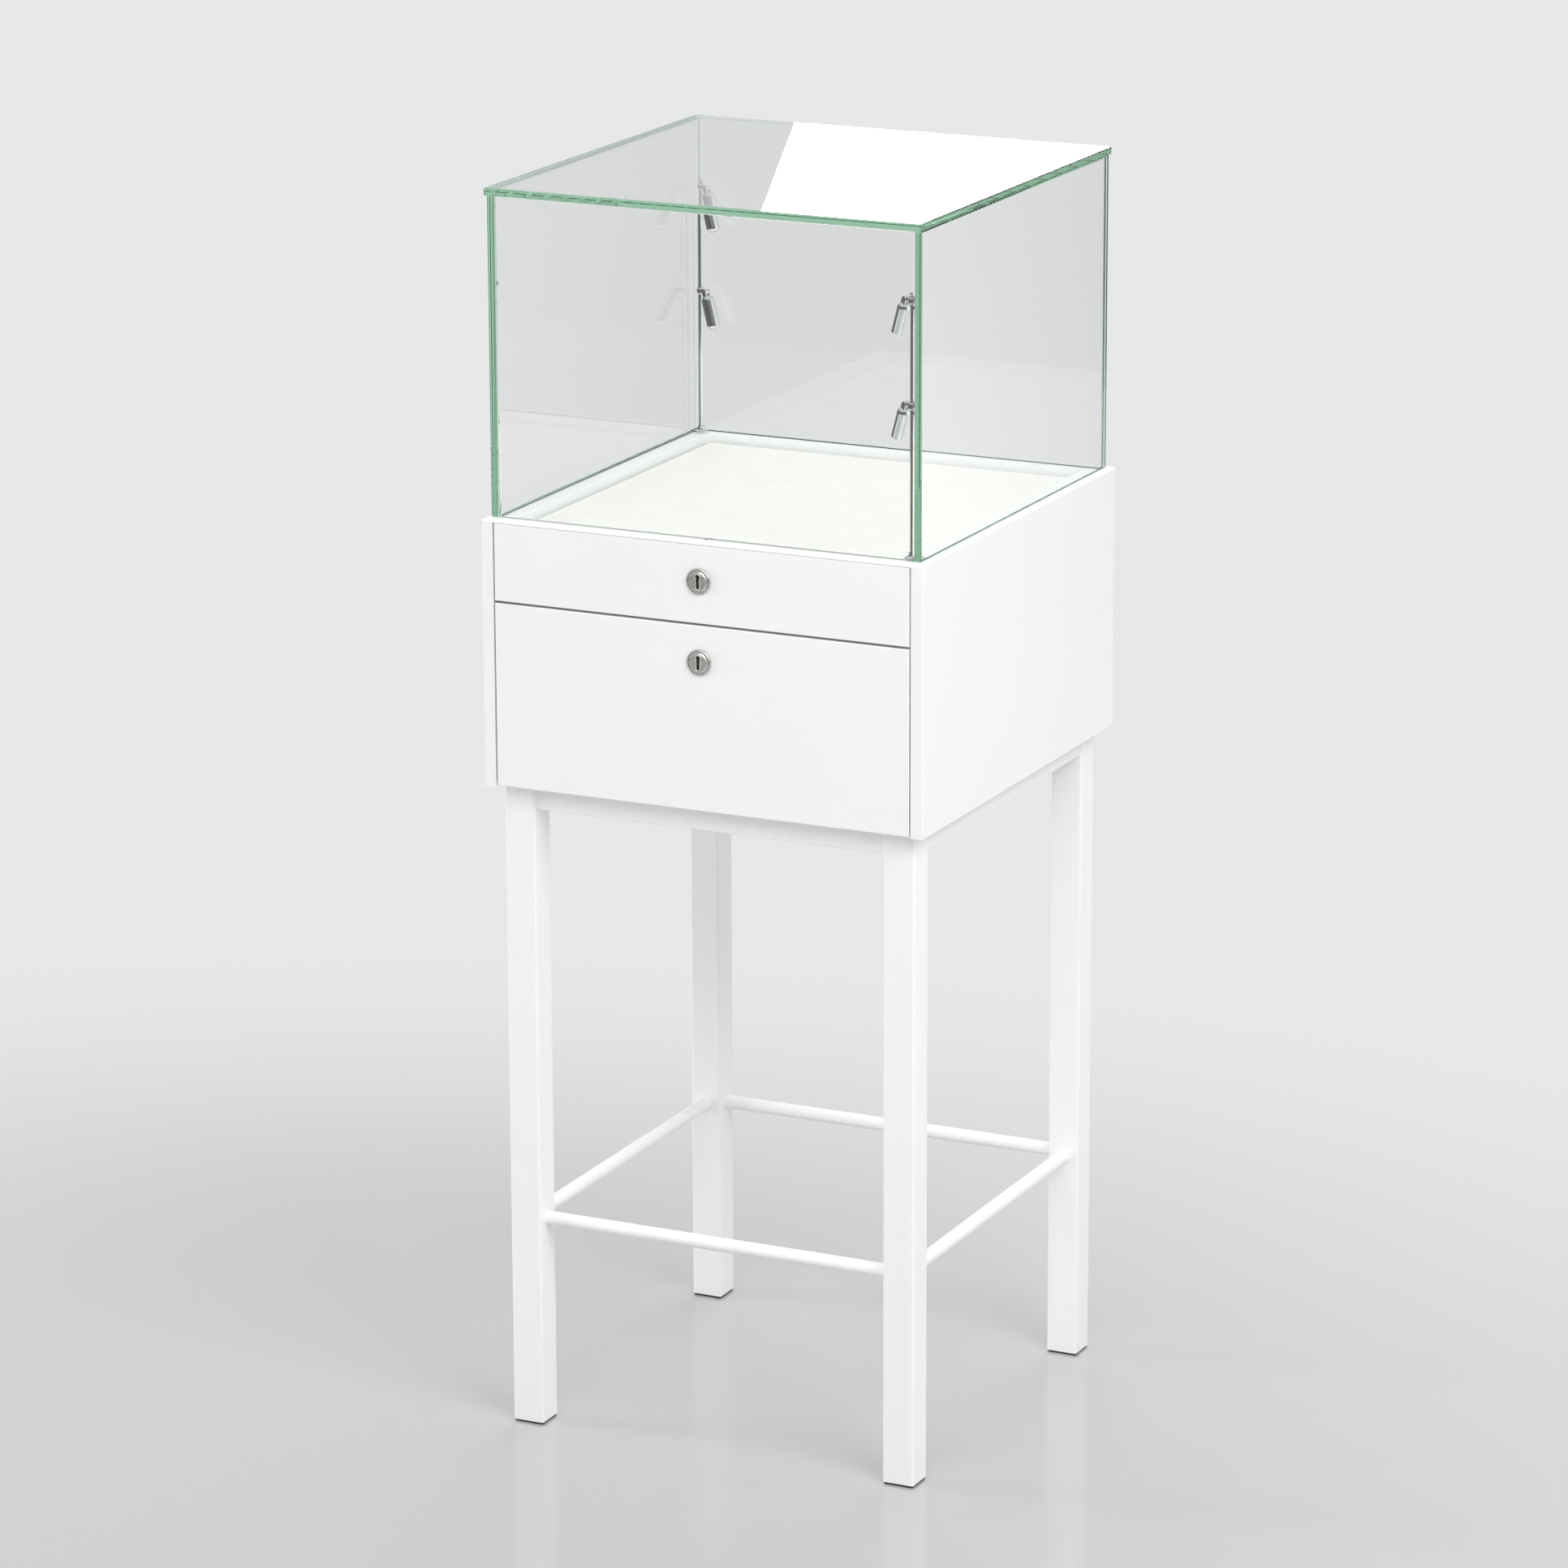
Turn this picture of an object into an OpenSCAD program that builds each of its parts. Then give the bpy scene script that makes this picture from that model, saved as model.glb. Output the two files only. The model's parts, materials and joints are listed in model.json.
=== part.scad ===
// Pedestal display case: a glass hood on a two-drawer cabinet, on a square-tube stand.
// Millimetres, +Z up. The front looks along -Y and +X is to the right as seen from the front.
// The origin lies on the floor, midway between the lock faces and the back of the cabinet.

/* [Cabinet] */
// Width of the cabinet, left to right
case_w = 500; // [440:10:600]
// Depth of the cabinet, front to back
case_d = 500; // [480:10:600]
// Height of the cabinet between the stand and the glass
cabinet_h = 285; // [275:5:340]
// Thickness of the side, back and bottom boards
board_t = 13; // [12:0.5:16]
// Thickness of the two drawer fronts
front_t = 18; // [16:1:20]
// Radius of the cabinet's top outer edges
top_edge_r = 2.5; // [1:0.5:2.8]
// Radius of the eased edges of the drawer fronts
front_edge_r = 1; // [0.5:0.25:2]
// Gap between a drawer front and the boards beside it
reveal = 1.75; // [1:0.25:3]
// Gap between the upper and the lower front
front_gap = 2.6; // [1:0.1:4]
// Height of the upper front, which closes the display tray
upper_front_h = 82; // [78:1:90]

/* [Stand] */
// Height of the stand from the floor to the cabinet
stand_h = 710; // [500:10:900]
// Outside width of a square leg tube
leg_w = 35; // [30:1:45]
// Wall of the leg tubes
leg_wall = 2; // [1.5:0.5:3]
// Outside corner radius of the leg tubes
leg_corner_r = 2.5; // [2:0.25:3]
// Distance from the cabinet's side to the leg's outer face
leg_inset = 15; // [5:1:30]
// Height of the rails under the cabinet
apron_h = 25; // [20:1:40]
// Depth of the rails under the cabinet
apron_depth = 25; // [20:1:28]
// Wall of the rails under the cabinet
apron_wall = 1.5; // [1:0.25:2]
// How far the rails lie back from the leg faces
apron_setback = 2.5; // [1:0.5:4]
// Diameter of the round stretchers
stretcher_d = 15; // [10:1:20]
// Wall of the round stretchers
stretcher_wall = 1.5; // [1:0.25:2.5]
// Height of the stretchers' centre above the floor
stretcher_z = 230; // [120:10:350]
// Height of the glide that shows under each leg
glide_h = 2.5; // [2:0.5:6]
// How far each glide lies inside the leg's outline
glide_inset = 1.2; // [0.5:0.1:2]
// Length of the glide's plug inside the tube
glide_plug_h = 18; // [10:1:30]
// Leg length of the triangular plates in the stand's top corners
plate_leg = 70; // [60:5:90]
// Thickness of the corner plates
plate_t = 3; // [2:0.5:5]
// Diameter of the bolts that hold the cabinet down
bolt_d = 6; // [5:1:8]

/* [Glass hood] */
// Thickness of the glass
glass_t = 8; // [6:1:10]
// Height of the hood, top plate included
hood_h = 345; // [330:5:450]
// Distance from the cabinet's side to the outer face of a side pane
side_pane_inset = 6.5; // [6:0.5:12]
// Distance from the cabinet's front or back to the outer face of the pane there
end_pane_inset = 10.5; // [6:0.5:12]
// How far the top plate stands out past the side panes
top_side_overhang = 1; // [0:0.5:5]
// How far the top plate stands out past the front and back panes
top_end_overhang = 5; // [0:0.5:6]
// Width of the flat polished edges of the glass
arris = 1.2; // [0.3:0.1:1.5]
// Thickness of the clear bond between panes, and under them
bond_gap = 0.2; // [0.1:0.05:0.5]

/* [Deck] */
// Width of the side ledges that show inside the glass
side_ledge = 17; // [14:0.5:30]
// Width of the back ledge that shows inside the glass
back_ledge = 9.5; // [8:0.5:30]
// Thickness of the ledge rails
rail_t = 14; // [11:1:17]
// Radius of the ledge rails' inner top edges
rail_edge_r = 0.6; // [0.4:0.1:1.5]
// Thickness of the lip that carries the front pane
lip_t = 3; // [3:0.5:4]
// Clearance between the lip and the upper front
lip_gap = 0.5; // [0.4:0.1:2]
// Depth of the pad's surface below the ledges
recess = 8; // [6:0.5:9]
// Thickness of the fabric-covered pad
pad_t = 9.7; // [8:0.1:10]
// Gap between the pad and the rails beside it
pad_gap = 0.6; // [0.4:0.1:1.5]
// Radius of the pad's edges
pad_edge_r = 2; // [1:0.5:3]

/* [Tray and drawer] */
// Thickness of the display tray's board
tray_board_t = 9; // [6:1:12]
// Clearance between the tray's battens and the divider rail
batten_gap = 5.5; // [3:0.5:8]
// Thickness of the drawer's sides, back and the tray's battens
side_t = 12; // [9:1:15]
// Clearance between the back board and the tray or drawer
box_back_gap = 9; // [5:1:15]
// Distance from the drawer sides' lower edge to the cabinet's bottom board
drawer_lift = 7; // [4:1:12]
// Clearance between the drawer's sides and the divider rail
drawer_top_gap = 9; // [5:1:40]
// Thickness of the drawer's bottom
drawer_bottom_t = 6; // [4:1:9]
// Distance from the sides' lower edge to the drawer's bottom
drawer_bottom_lift = 4; // [0:1:12]
// Space for the runners on each side
runner_space = 12.7; // [12.2:0.1:14]
// Height of a fixed runner
runner_h = 27; // [22:1:32]
// Length of the runners
runner_length = 400; // [350:10:420]
// Thickness of the runners' sheet
runner_sheet = 1.2; // [1:0.1:1.5]
// Clearance between a fixed and a sliding runner
runner_gap = 0.6; // [0.4:0.1:1]
// How far the lips of a fixed runner turn in, sheet included
runner_lip = 2; // [2:0.5:3]
// Height of the rail between the two fronts
divider_h = 23; // [20:1:24]
// Thickness of the rail between the two fronts
divider_t = 12; // [9:1:15]

/* [Locks] */
// Gap between the tray lock's nut and the tray's board
tray_lock_gap = 1.1; // [1:0.1:6]
// Gap between the drawer lock's nut and the divider rail
drawer_lock_gap = 12; // [4:1:30]
// Diameter of the lock's face
lock_face_d = 27; // [26.4:0.2:30]
// How far the lock's face stands out
lock_proud = 3; // [2.5:0.25:5]
// Diameter of the lock's barrel
lock_barrel_d = 22; // [20:0.5:22.4]
// Length of the barrel behind the front's outer face
lock_barrel_length = 24; // [23:0.5:28]
// Diameter of the turning plug
lock_plug_d = 17.2; // [15:0.2:18]
// Diameter of the plug's face
lock_plug_face_d = 21.6; // [20:0.2:22]
// Width of the slope round the plug's face
plug_slope_w = 1.5; // [0.5:0.1:2.5]
// Height of the slope round the plug's face
plug_slope_h = 0.9; // [0.3:0.1:1.2]
// Width of the groove between the plug's face and the lock's rim
plug_groove = 0.5; // [0.2:0.1:0.8]
// How far the lock's rim lies behind the plug's face
rim_drop = 0.8; // [0.2:0.1:1]
// Running clearance round the plug
plug_clearance = 0.05; // [0.02:0.01:0.1]
// Height of the keyway
keyway_h = 15; // [10:0.5:15]
// Width of the keyway's slot
keyway_w = 3.2; // [2:0.2:3.8]
// Diameter of the keyway's round head
keyway_head_d = 4.8; // [4.4:0.2:5.6]
// Depth of the keyway
keyway_depth = 20; // [10:1:24]
// Thickness of the cams
cam_t = 2.5; // [2:0.5:3]
// Width of the cams
cam_w = 12; // [8:1:14]
// How far a locked cam reaches behind the divider rail
cam_catch = 8; // [5:0.5:9]
// Clearance between the cams and the divider rail
cam_clearance = 2.5; // [1:0.5:4]

/* [Lights] */
// Diameter of the light poles
pole_d = 4; // [3:0.5:5]
// Height of the upper lamps' pivots above the ledges
upper_pivot = 264; // [240:1:300]
// Height of the lower lamps' pivots above the ledges
lower_pivot = 157; // [100:1:180]
// Diameter of a pole's base flange
pole_base_d = 15.5; // [14:0.5:17.4]
// Height of a pole's base
pole_base_h = 7; // [5:1:10]
// Running clearance of the collars and pivot pins
pivot_clearance = 0.05; // [0.02:0.01:0.1]
// Diameter of the collars on the poles
collar_d = 8; // [7:0.5:9]
// Height of the collars
collar_h = 7; // [5:0.5:8]
// Distance from the pole's axis to the lamp's pivot
pivot_reach = 10.5; // [10:0.5:14]
// Diameter of a lamp head
head_d = 14; // [12:0.5:14.5]
// Length of a lamp head
head_length = 37; // [30:1:50]
// Distance from the pivot to the lamp head's top
head_drop = 4.5; // [4.4:0.1:6]
// Radius of the lamp head's shoulder
head_shoulder_r = 5.5; // [2:0.5:5.5]
// Radius of the lamp head's lower rim
head_rim_r = 4; // [1:0.5:4]
// Diameter of the light window at the lamp head's lower end
window_d = 5.5; // [4:0.5:5.5]
// Depth of the light window
window_depth = 1.5; // [0.5:0.5:3]
// Tilt of the lamp heads from hanging straight down
head_tilt = 21; // [0:1:60]
// Turn of the lamp heads from the cabinet's width towards its middle
head_turn = 29; // [5:1:80]
// Diameter of the pivot pins
pin_d = 2; // [1.6:0.2:2.4]
// Thickness of the collar's eye
eye_t = 3; // [2.4:0.2:3.2]
// Diameter of the eye and the ears
eye_d = 6.4; // [5:0.2:6.8]
// Thickness of the lamp head's ears
ear_t = 1.4; // [1:0.1:2]
// Side gap between the eye and the ears
ear_gap = 0.3; // [0.2:0.05:0.5]

/* [Hidden] */
$fn = 48;
slack = 1;                      // Extra length of a cutter past the face that it cuts
overlap = 0.1;                  // How far two shapes of one solid run into each other
soft_gap = 0.3;                 // Clearance between the pad and the board under it
hole_clearance = 0.05;          // Clearance of a barrel, bolt or pole in its hole
plug_fit = 0.2;                 // Clearance of a glide's plug in its tube
front_lift = 1;                 // Gap between the lower front and the cabinet's underside
divider_gap = 1;                // Gap between the fronts' backs and the boards behind them
divider_drop = 3;               // How far the divider rail's middle lies below the gap it backs
fixed_runner_back = 6;          // Distance of the fixed runners from the fronts' backs
slide_back = 2;                 // Distance of the sliding runners from the fronts' backs
bolt_cover = 3;                 // Wood left above a stand bolt
base_gap = 0.5;                 // Gap between a pole's base and the panes
seat_gap = 0.1;                 // Clearance under the plug's face

half_w = case_w / 2;
half_d = case_d / 2;
plan_shift = lock_proud / 2;    // Centres the outline, locks included, on the origin
deck_z = stand_h + cabinet_h;
inner_x = half_w - board_t;
inner_y = half_d - board_t;
front_back_y = -half_d + front_t;
front_half_w = inner_x - reveal;

leg_out_x = half_w - leg_inset;
leg_out_y = half_d - leg_inset;
leg_mid_x = leg_out_x - leg_w / 2;
leg_mid_y = leg_out_y - leg_w / 2;
leg_in_x = leg_out_x - leg_w;
leg_in_y = leg_out_y - leg_w;
apron_mid_x = leg_out_x - apron_setback - apron_depth / 2;
apron_mid_y = leg_out_y - apron_setback - apron_depth / 2;
apron_in_x = apron_mid_x - apron_depth / 2;
apron_in_y = apron_mid_y - apron_depth / 2;
bolt_in = plate_leg * 0.3;      // Bolt's distance from the two rails, inside the triangle
bolt_head_d = bolt_d * 1.75;    // Proportions of a button-headed bolt
bolt_head_h = bolt_d * 0.55;
bolt_socket_d = bolt_d * 0.66;
bolt_socket_h = bolt_head_h * 0.6;
bolt_depth = board_t - bolt_cover;

pane_out_x = half_w - side_pane_inset;
pane_out_y = half_d - end_pane_inset;
pane_in_x = pane_out_x - glass_t;
pane_in_y = pane_out_y - glass_t;
hood_top_z = deck_z + hood_h;
pane_low_z = deck_z + bond_gap;
pane_high_z = hood_top_z - glass_t - bond_gap;
rail_in_x = pane_in_x - side_ledge;
rail_in_y = pane_in_y - back_ledge;

tray_front_top_z = deck_z - lip_t - lip_gap;
tray_front_low_z = tray_front_top_z - upper_front_h;
drawer_front_top_z = tray_front_low_z - front_gap;
drawer_front_low_z = stand_h + front_lift;
pad_top_z = deck_z - recess;
pad_low_z = pad_top_z - pad_t;
tray_board_top_z = pad_low_z - soft_gap;
tray_board_low_z = tray_board_top_z - tray_board_t;
side_out_x = inner_x - runner_space;
side_in_x = side_out_x - side_t;
box_back_y = inner_y - box_back_gap;
divider_mid_z = tray_front_low_z - front_gap / 2 - divider_drop;
divider_top_z = divider_mid_z + divider_h / 2;
divider_low_z = divider_mid_z - divider_h / 2;
divider_front_y = front_back_y + divider_gap;
divider_back_y = divider_front_y + divider_t;
batten_low_z = divider_top_z + batten_gap;
drawer_low_z = stand_h + board_t + drawer_lift;
drawer_top_z = divider_low_z - drawer_top_gap;
drawer_bottom_z = drawer_low_z + drawer_bottom_lift;
tray_runner_z = (tray_board_low_z + batten_low_z) / 2;
drawer_runner_z = (drawer_low_z + drawer_top_z) / 2;
runner_front_y = front_back_y + fixed_runner_back;
slide_front_y = front_back_y + slide_back;
slide_h = runner_h - 2 * runner_sheet - 2 * runner_gap;
channel_depth = runner_space - runner_sheet - 2 * runner_gap;

nut_across = lock_barrel_d * 1.18;    // Over the flats, so that the corners stand past the barrel
tray_lock_z = tray_board_low_z - tray_lock_gap - nut_across / 2;
drawer_lock_z = divider_low_z - drawer_lock_gap - nut_across / 2;
cam_front = divider_back_y + cam_clearance + half_d;
plug_face_t = 1.6;
rim_h = lock_proud - rim_drop;
rim_r = 1.2;
nut_t = 4;
spigot_w = lock_plug_d * 0.52;  // The square's corners stay inside the plug
stake_d = spigot_w * 1.6;       // The staked end covers those corners
stake_t = 1.2;
tray_cam_reach = tray_lock_z - divider_top_z + cam_catch;
drawer_cam_reach = divider_low_z - drawer_lock_z + cam_catch;

pole_x = pane_in_x - pole_base_d / 2 - base_gap;
pole_y = pane_in_y - pole_base_d / 2 - base_gap;
finial_d = pole_d * 1.3;        // A little thicker than the pole, so that it stops the collars
pole_top = upper_pivot + collar_h / 2 + finial_d / 2 + soft_gap;
base_disc_t = 2;
base_edge_r = 0.8;
base_neck_d = pole_d * 1.9;     // Leaves a wall of about half the pole's diameter
arm_h = eye_d * 0.62;           // The arm is lower than the eye it ends in
collar_ball_d = collar_d * 1.15;    // Ball that rounds the collar's ends
white = "#f4f5f6";
steel_white = "#eef0f2";
nickel = "#a9a7a1";
bright_chrome = "#d4d8dc";
zinc = "#b4b9bd";
rubber_black = "#1d1e20";
clear_glass = [0.62, 0.80, 0.72, 0.35];
pad_cloth = "#efeee8";

// ---- Helpers ----

// Puts a shape from the cabinet's own centre into the part's frame.
module placed() {
    translate([0, plan_shift, 0]) children();
}

// Box between two opposite corners.
module block(low, high) {
    translate(low) cube(high - low);
}

// Rectangle centred on the origin with all four corners rounded.
module round_rectangle(w, h, r) {
    square([w - 2 * r, h], center = true);
    square([w, h - 2 * r], center = true);
    for (x = [-1, 1], y = [-1, 1])
        translate([x * (w / 2 - r), y * (h / 2 - r)]) circle(r);
}

// Rectangle with its lower edge on y = 0 and its two lower corners rounded.
module eased_rectangle(w, h, r) {
    translate([-w / 2, r]) square([w, h - r]);
    translate([-w / 2 + r, 0]) square([w - 2 * r, h]);
    for (x = [-1, 1])
        translate([x * (w / 2 - r), r]) circle(r);
}

// Board whose face lies at y = 0 with four eased edges, w wide, h tall and t thick towards +Y.
module eased_board(w, h, t, r) {
    intersection() {
        translate([0, 0, -h / 2]) linear_extrude(h) eased_rectangle(w, t, r);
        rotate([90, 0, 90])
            translate([0, 0, -w / 2])
                linear_extrude(w)
                    rotate(-90) eased_rectangle(h, t, r);
    }
}

// Rectangle centred on the origin with its four corners cut at 45 degrees.
module cut_rectangle(w, h, c) {
    polygon([
        [-w / 2 + c, -h / 2], [w / 2 - c, -h / 2], [w / 2, -h / 2 + c], [w / 2, h / 2 - c],
        [w / 2 - c, h / 2], [-w / 2 + c, h / 2], [-w / 2, h / 2 - c], [-w / 2, -h / 2 + c]
    ]);
}

// Glass pane between two corners, with a polished arris on every edge.
module pane(low, high) {
    size = high - low;
    translate((low + high) / 2) intersection() {
        translate([0, 0, -size.z / 2]) linear_extrude(size.z) cut_rectangle(size.x, size.y, arris);
        rotate([90, 0, 0])
            translate([0, 0, -size.y / 2])
                linear_extrude(size.y) cut_rectangle(size.x, size.z, arris);
        rotate([90, 0, 90])
            translate([0, 0, -size.x / 2])
                linear_extrude(size.x) cut_rectangle(size.y, size.z, arris);
    }
}

// Cylinder along Y from the front face inwards, at a height above the floor.
module front_bore(z, d) {
    translate([0, -half_d - slack, z])
        rotate([-90, 0, 0]) cylinder(d = d, h = front_t + 2 * slack);
}

// Turns a lock's own axes, with +Z outwards, to the front of the cabinet.
module at_lock(z) {
    placed() translate([0, -half_d, z]) rotate([90, 0, 0]) children();
}

// ---- Stand ----

// Square leg tube, with x and y the sides of the cabinet that it stands at.
module leg(x, y) {
    color(steel_white) placed()
        translate([x * leg_mid_x, y * leg_mid_y, glide_h])
            linear_extrude(stand_h - glide_h) difference() {
                round_rectangle(leg_w, leg_w, leg_corner_r);
                round_rectangle(leg_w - 2 * leg_wall, leg_w - 2 * leg_wall, leg_corner_r / 2);
            }
}

// Rectangular tube under the cabinet, centred on the origin and running along X.
module apron_tube(length) {
    rotate([90, 0, 90])
        translate([0, 0, -length / 2])
            linear_extrude(length) difference() {
                round_rectangle(apron_depth, apron_h, leg_corner_r / 2);
                square([apron_depth - 2 * apron_wall, apron_h - 2 * apron_wall], center = true);
            }
}

module apron_along_x(y) {
    color(steel_white) placed()
        translate([0, y * apron_mid_y, stand_h - apron_h / 2]) apron_tube(2 * leg_in_x);
}

module apron_along_y(x) {
    color(steel_white) placed()
        translate([x * apron_mid_x, 0, stand_h - apron_h / 2])
            rotate(90) apron_tube(2 * leg_in_y);
}

// Round tube centred on the origin and running along X.
module stretcher_tube(length) {
    rotate([0, 90, 0]) difference() {
        cylinder(d = stretcher_d, h = length, center = true);
        cylinder(d = stretcher_d - 2 * stretcher_wall, h = length + 2 * slack, center = true);
    }
}

module stretcher_along_x(y) {
    color(steel_white) placed()
        translate([0, y * leg_mid_y, stretcher_z]) stretcher_tube(2 * leg_in_x);
}

module stretcher_along_y(x) {
    color(steel_white) placed()
        translate([x * leg_mid_x, 0, stretcher_z]) rotate(90) stretcher_tube(2 * leg_in_y);
}

// Glide with a plug that fits the leg tube and a plate under its end.
module foot_glides() {
    plate_w = leg_w - 2 * glide_inset;
    plug_w = leg_w - 2 * leg_wall - 2 * plug_fit;
    color(rubber_black) placed()
        for (x = [-1, 1], y = [-1, 1])
            translate([x * leg_mid_x, y * leg_mid_y, 0]) {
                linear_extrude(glide_h) round_rectangle(plate_w, plate_w, leg_corner_r / 2);
                linear_extrude(glide_h + glide_plug_h)
                    round_rectangle(plug_w, plug_w, leg_corner_r / 2);
            }
}

// Triangular plates that fill the corners between the rails, notched round the legs.
module corner_plates() {
    color(steel_white) placed()
        for (x = [-1, 1], y = [-1, 1])
            translate([0, 0, stand_h - plate_t])
                linear_extrude(plate_t) difference() {
                    polygon([
                        [x * apron_in_x, y * (apron_in_y - plate_leg)],
                        [x * apron_in_x, y * leg_in_y],
                        [x * leg_in_x, y * leg_in_y],
                        [x * leg_in_x, y * apron_in_y],
                        [x * (apron_in_x - plate_leg), y * apron_in_y]
                    ]);
                    translate([x * (apron_in_x - bolt_in), y * (apron_in_y - bolt_in)])
                        circle(d = bolt_d + 4 * hole_clearance);
                }
}

// Round-headed bolts up through the corner plates into the bottom board.
module stand_bolts() {
    color(zinc) placed()
        for (x = [-1, 1], y = [-1, 1])
            translate([x * (apron_in_x - bolt_in), y * (apron_in_y - bolt_in), stand_h - plate_t]) {
                cylinder(d = bolt_d, h = plate_t + bolt_depth);
                translate([0, 0, -bolt_head_h]) difference() {
                    cylinder(d = bolt_head_d, h = bolt_head_h);
                    translate([0, 0, -slack])
                        cylinder(d = bolt_socket_d, h = bolt_socket_h + slack, $fn = 6);
                }
            }
}

// ---- Cabinet ----

// Side board: its outer, front and back top edges are rounded, and its upright edges eased.
module side_panel(x) {
    color(white) placed()
        translate([x * (half_w - board_t / 2), 0, stand_h])
            intersection() {
                rotate([90, 0, 0])
                    translate([0, 0, -half_d])
                        linear_extrude(case_d) difference() {
                            translate([-board_t / 2, 0]) square([board_t, cabinet_h]);
                            translate([x * (board_t / 2 - top_edge_r), cabinet_h - top_edge_r])
                                corner_waste(x, top_edge_r);
                        }
                rotate([90, 0, 90])
                    translate([0, 0, -board_t / 2])
                        linear_extrude(board_t)
                            translate([0, cabinet_h])
                                rotate(180) eased_rectangle(case_d, cabinet_h, top_edge_r);
                linear_extrude(cabinet_h)
                    translate([x * board_t / 2, 0])
                        rotate(x * 90) eased_rectangle(case_d, board_t, front_edge_r);
            }
}

// What a round top corner leaves out: a square less a quarter circle, on the side x.
module corner_waste(x, r) {
    difference() {
        translate([x > 0 ? 0 : -r - slack, 0]) square(r + slack);
        circle(r);
    }
}

module back_panel() {
    color(white) placed()
        rotate([90, 0, 90])
            translate([0, 0, -inner_x])
                linear_extrude(2 * inner_x) difference() {
                    translate([inner_y, stand_h]) square([board_t, cabinet_h]);
                    translate([half_d - top_edge_r, deck_z - top_edge_r])
                        corner_waste(1, top_edge_r);
                }
}

module bottom_panel() {
    color(white) placed() difference() {
        block([-inner_x, divider_front_y, stand_h], [inner_x, inner_y, stand_h + board_t]);
        for (x = [-1, 1], y = [-1, 1])
            translate([x * (apron_in_x - bolt_in), y * (apron_in_y - bolt_in), stand_h - slack])
                cylinder(d = bolt_d + 2 * hole_clearance, h = bolt_depth + hole_clearance + slack);
    }
}

module divider_rail() {
    color(white) placed()
        block([-inner_x, divider_front_y, divider_low_z], [inner_x, divider_back_y, divider_top_z]);
}

// Ledge rail beside the pad, from the lip to the back board.
module deck_side_rail(x) {
    rail_w = inner_x - rail_in_x;
    color(white) placed()
        translate([x * (inner_x + rail_in_x) / 2, 0, deck_z - rail_t])
            rotate([90, 0, 0])
                translate([0, 0, -inner_y])
                    linear_extrude(inner_y - divider_front_y) difference() {
                        translate([-rail_w / 2, 0]) square([rail_w, rail_t]);
                        translate([-x * (rail_w / 2 - rail_edge_r), rail_t - rail_edge_r])
                            corner_waste(-x, rail_edge_r);
                    }
}

module deck_rail_back() {
    color(white) placed()
        rotate([90, 0, 90])
            translate([0, 0, -rail_in_x])
                linear_extrude(2 * rail_in_x) difference() {
                    translate([rail_in_y, deck_z - rail_t]) square([inner_y - rail_in_y, rail_t]);
                    translate([rail_in_y + rail_edge_r, deck_z - rail_edge_r])
                        corner_waste(-1, rail_edge_r);
                }
}

// Thin lip over the upper front, with the same round front edge as the sides.
module deck_lip() {
    color(white) placed()
        rotate([90, 0, 90])
            translate([0, 0, -inner_x])
                linear_extrude(2 * inner_x) difference() {
                    translate([-half_d, deck_z - lip_t]) square([front_t + divider_gap, lip_t]);
                    translate([-half_d + top_edge_r, deck_z - top_edge_r])
                        corner_waste(-1, top_edge_r);
                }
}

// ---- Glass hood ----

// Side pane over the whole depth, with its front and back edges showing.
module glass_side(x) {
    color(clear_glass) placed()
        pane([x > 0 ? pane_in_x : -pane_out_x, -pane_out_y, pane_low_z],
             [x > 0 ? pane_out_x : -pane_in_x, pane_out_y, pane_high_z]);
}

// Front or back pane, held between the two side panes.
module glass_cross(y) {
    half = pane_in_x - bond_gap;
    color(clear_glass) placed()
        pane([-half, y > 0 ? pane_in_y : -pane_out_y, pane_low_z],
             [half, y > 0 ? pane_out_y : -pane_in_y, pane_high_z]);
}

module glass_top() {
    top_x = pane_out_x + top_side_overhang;
    top_y = pane_out_y + top_end_overhang;
    color(clear_glass) placed()
        pane([-top_x, -top_y, hood_top_z - glass_t], [top_x, top_y, hood_top_z]);
}

// ---- Lights ----

// Moves to the foot of a pole: side 1 is the back left one and side -1 the front right one.
module at_pole(side) {
    placed() translate([-side * pole_x, side * pole_y, deck_z])
        rotate(side > 0 ? 0 : 180) children();
}

module light_pole(side) {
    color(bright_chrome) at_pole(side) {
        cylinder(d = pole_d, h = pole_top);
        translate([0, 0, pole_top]) sphere(d = finial_d);
    }
}

// Turned base: a flat disc with a hollow-sided neck.
module pole_bases() {
    disc_r = pole_base_d / 2;
    neck_r = base_neck_d / 2;
    bore_r = pole_d / 2 + hole_clearance;
    cove_r = min(pole_base_h - base_disc_t - 1, disc_r - neck_r - 1);
    color(bright_chrome)
        for (side = [-1, 1]) at_pole(side)
            rotate_extrude() {
                translate([bore_r, 0]) square([disc_r - bore_r - base_edge_r, base_disc_t]);
                translate([bore_r, 0]) square([disc_r - bore_r, base_disc_t - base_edge_r]);
                translate([disc_r - base_edge_r, base_disc_t - base_edge_r]) circle(base_edge_r);
                translate([bore_r, 0]) square([neck_r - bore_r, pole_base_h]);
                difference() {
                    translate([neck_r - overlap, base_disc_t - overlap]) square(cove_r + overlap);
                    translate([neck_r + cove_r, base_disc_t + cove_r]) circle(cove_r);
                }
            }
}

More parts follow.
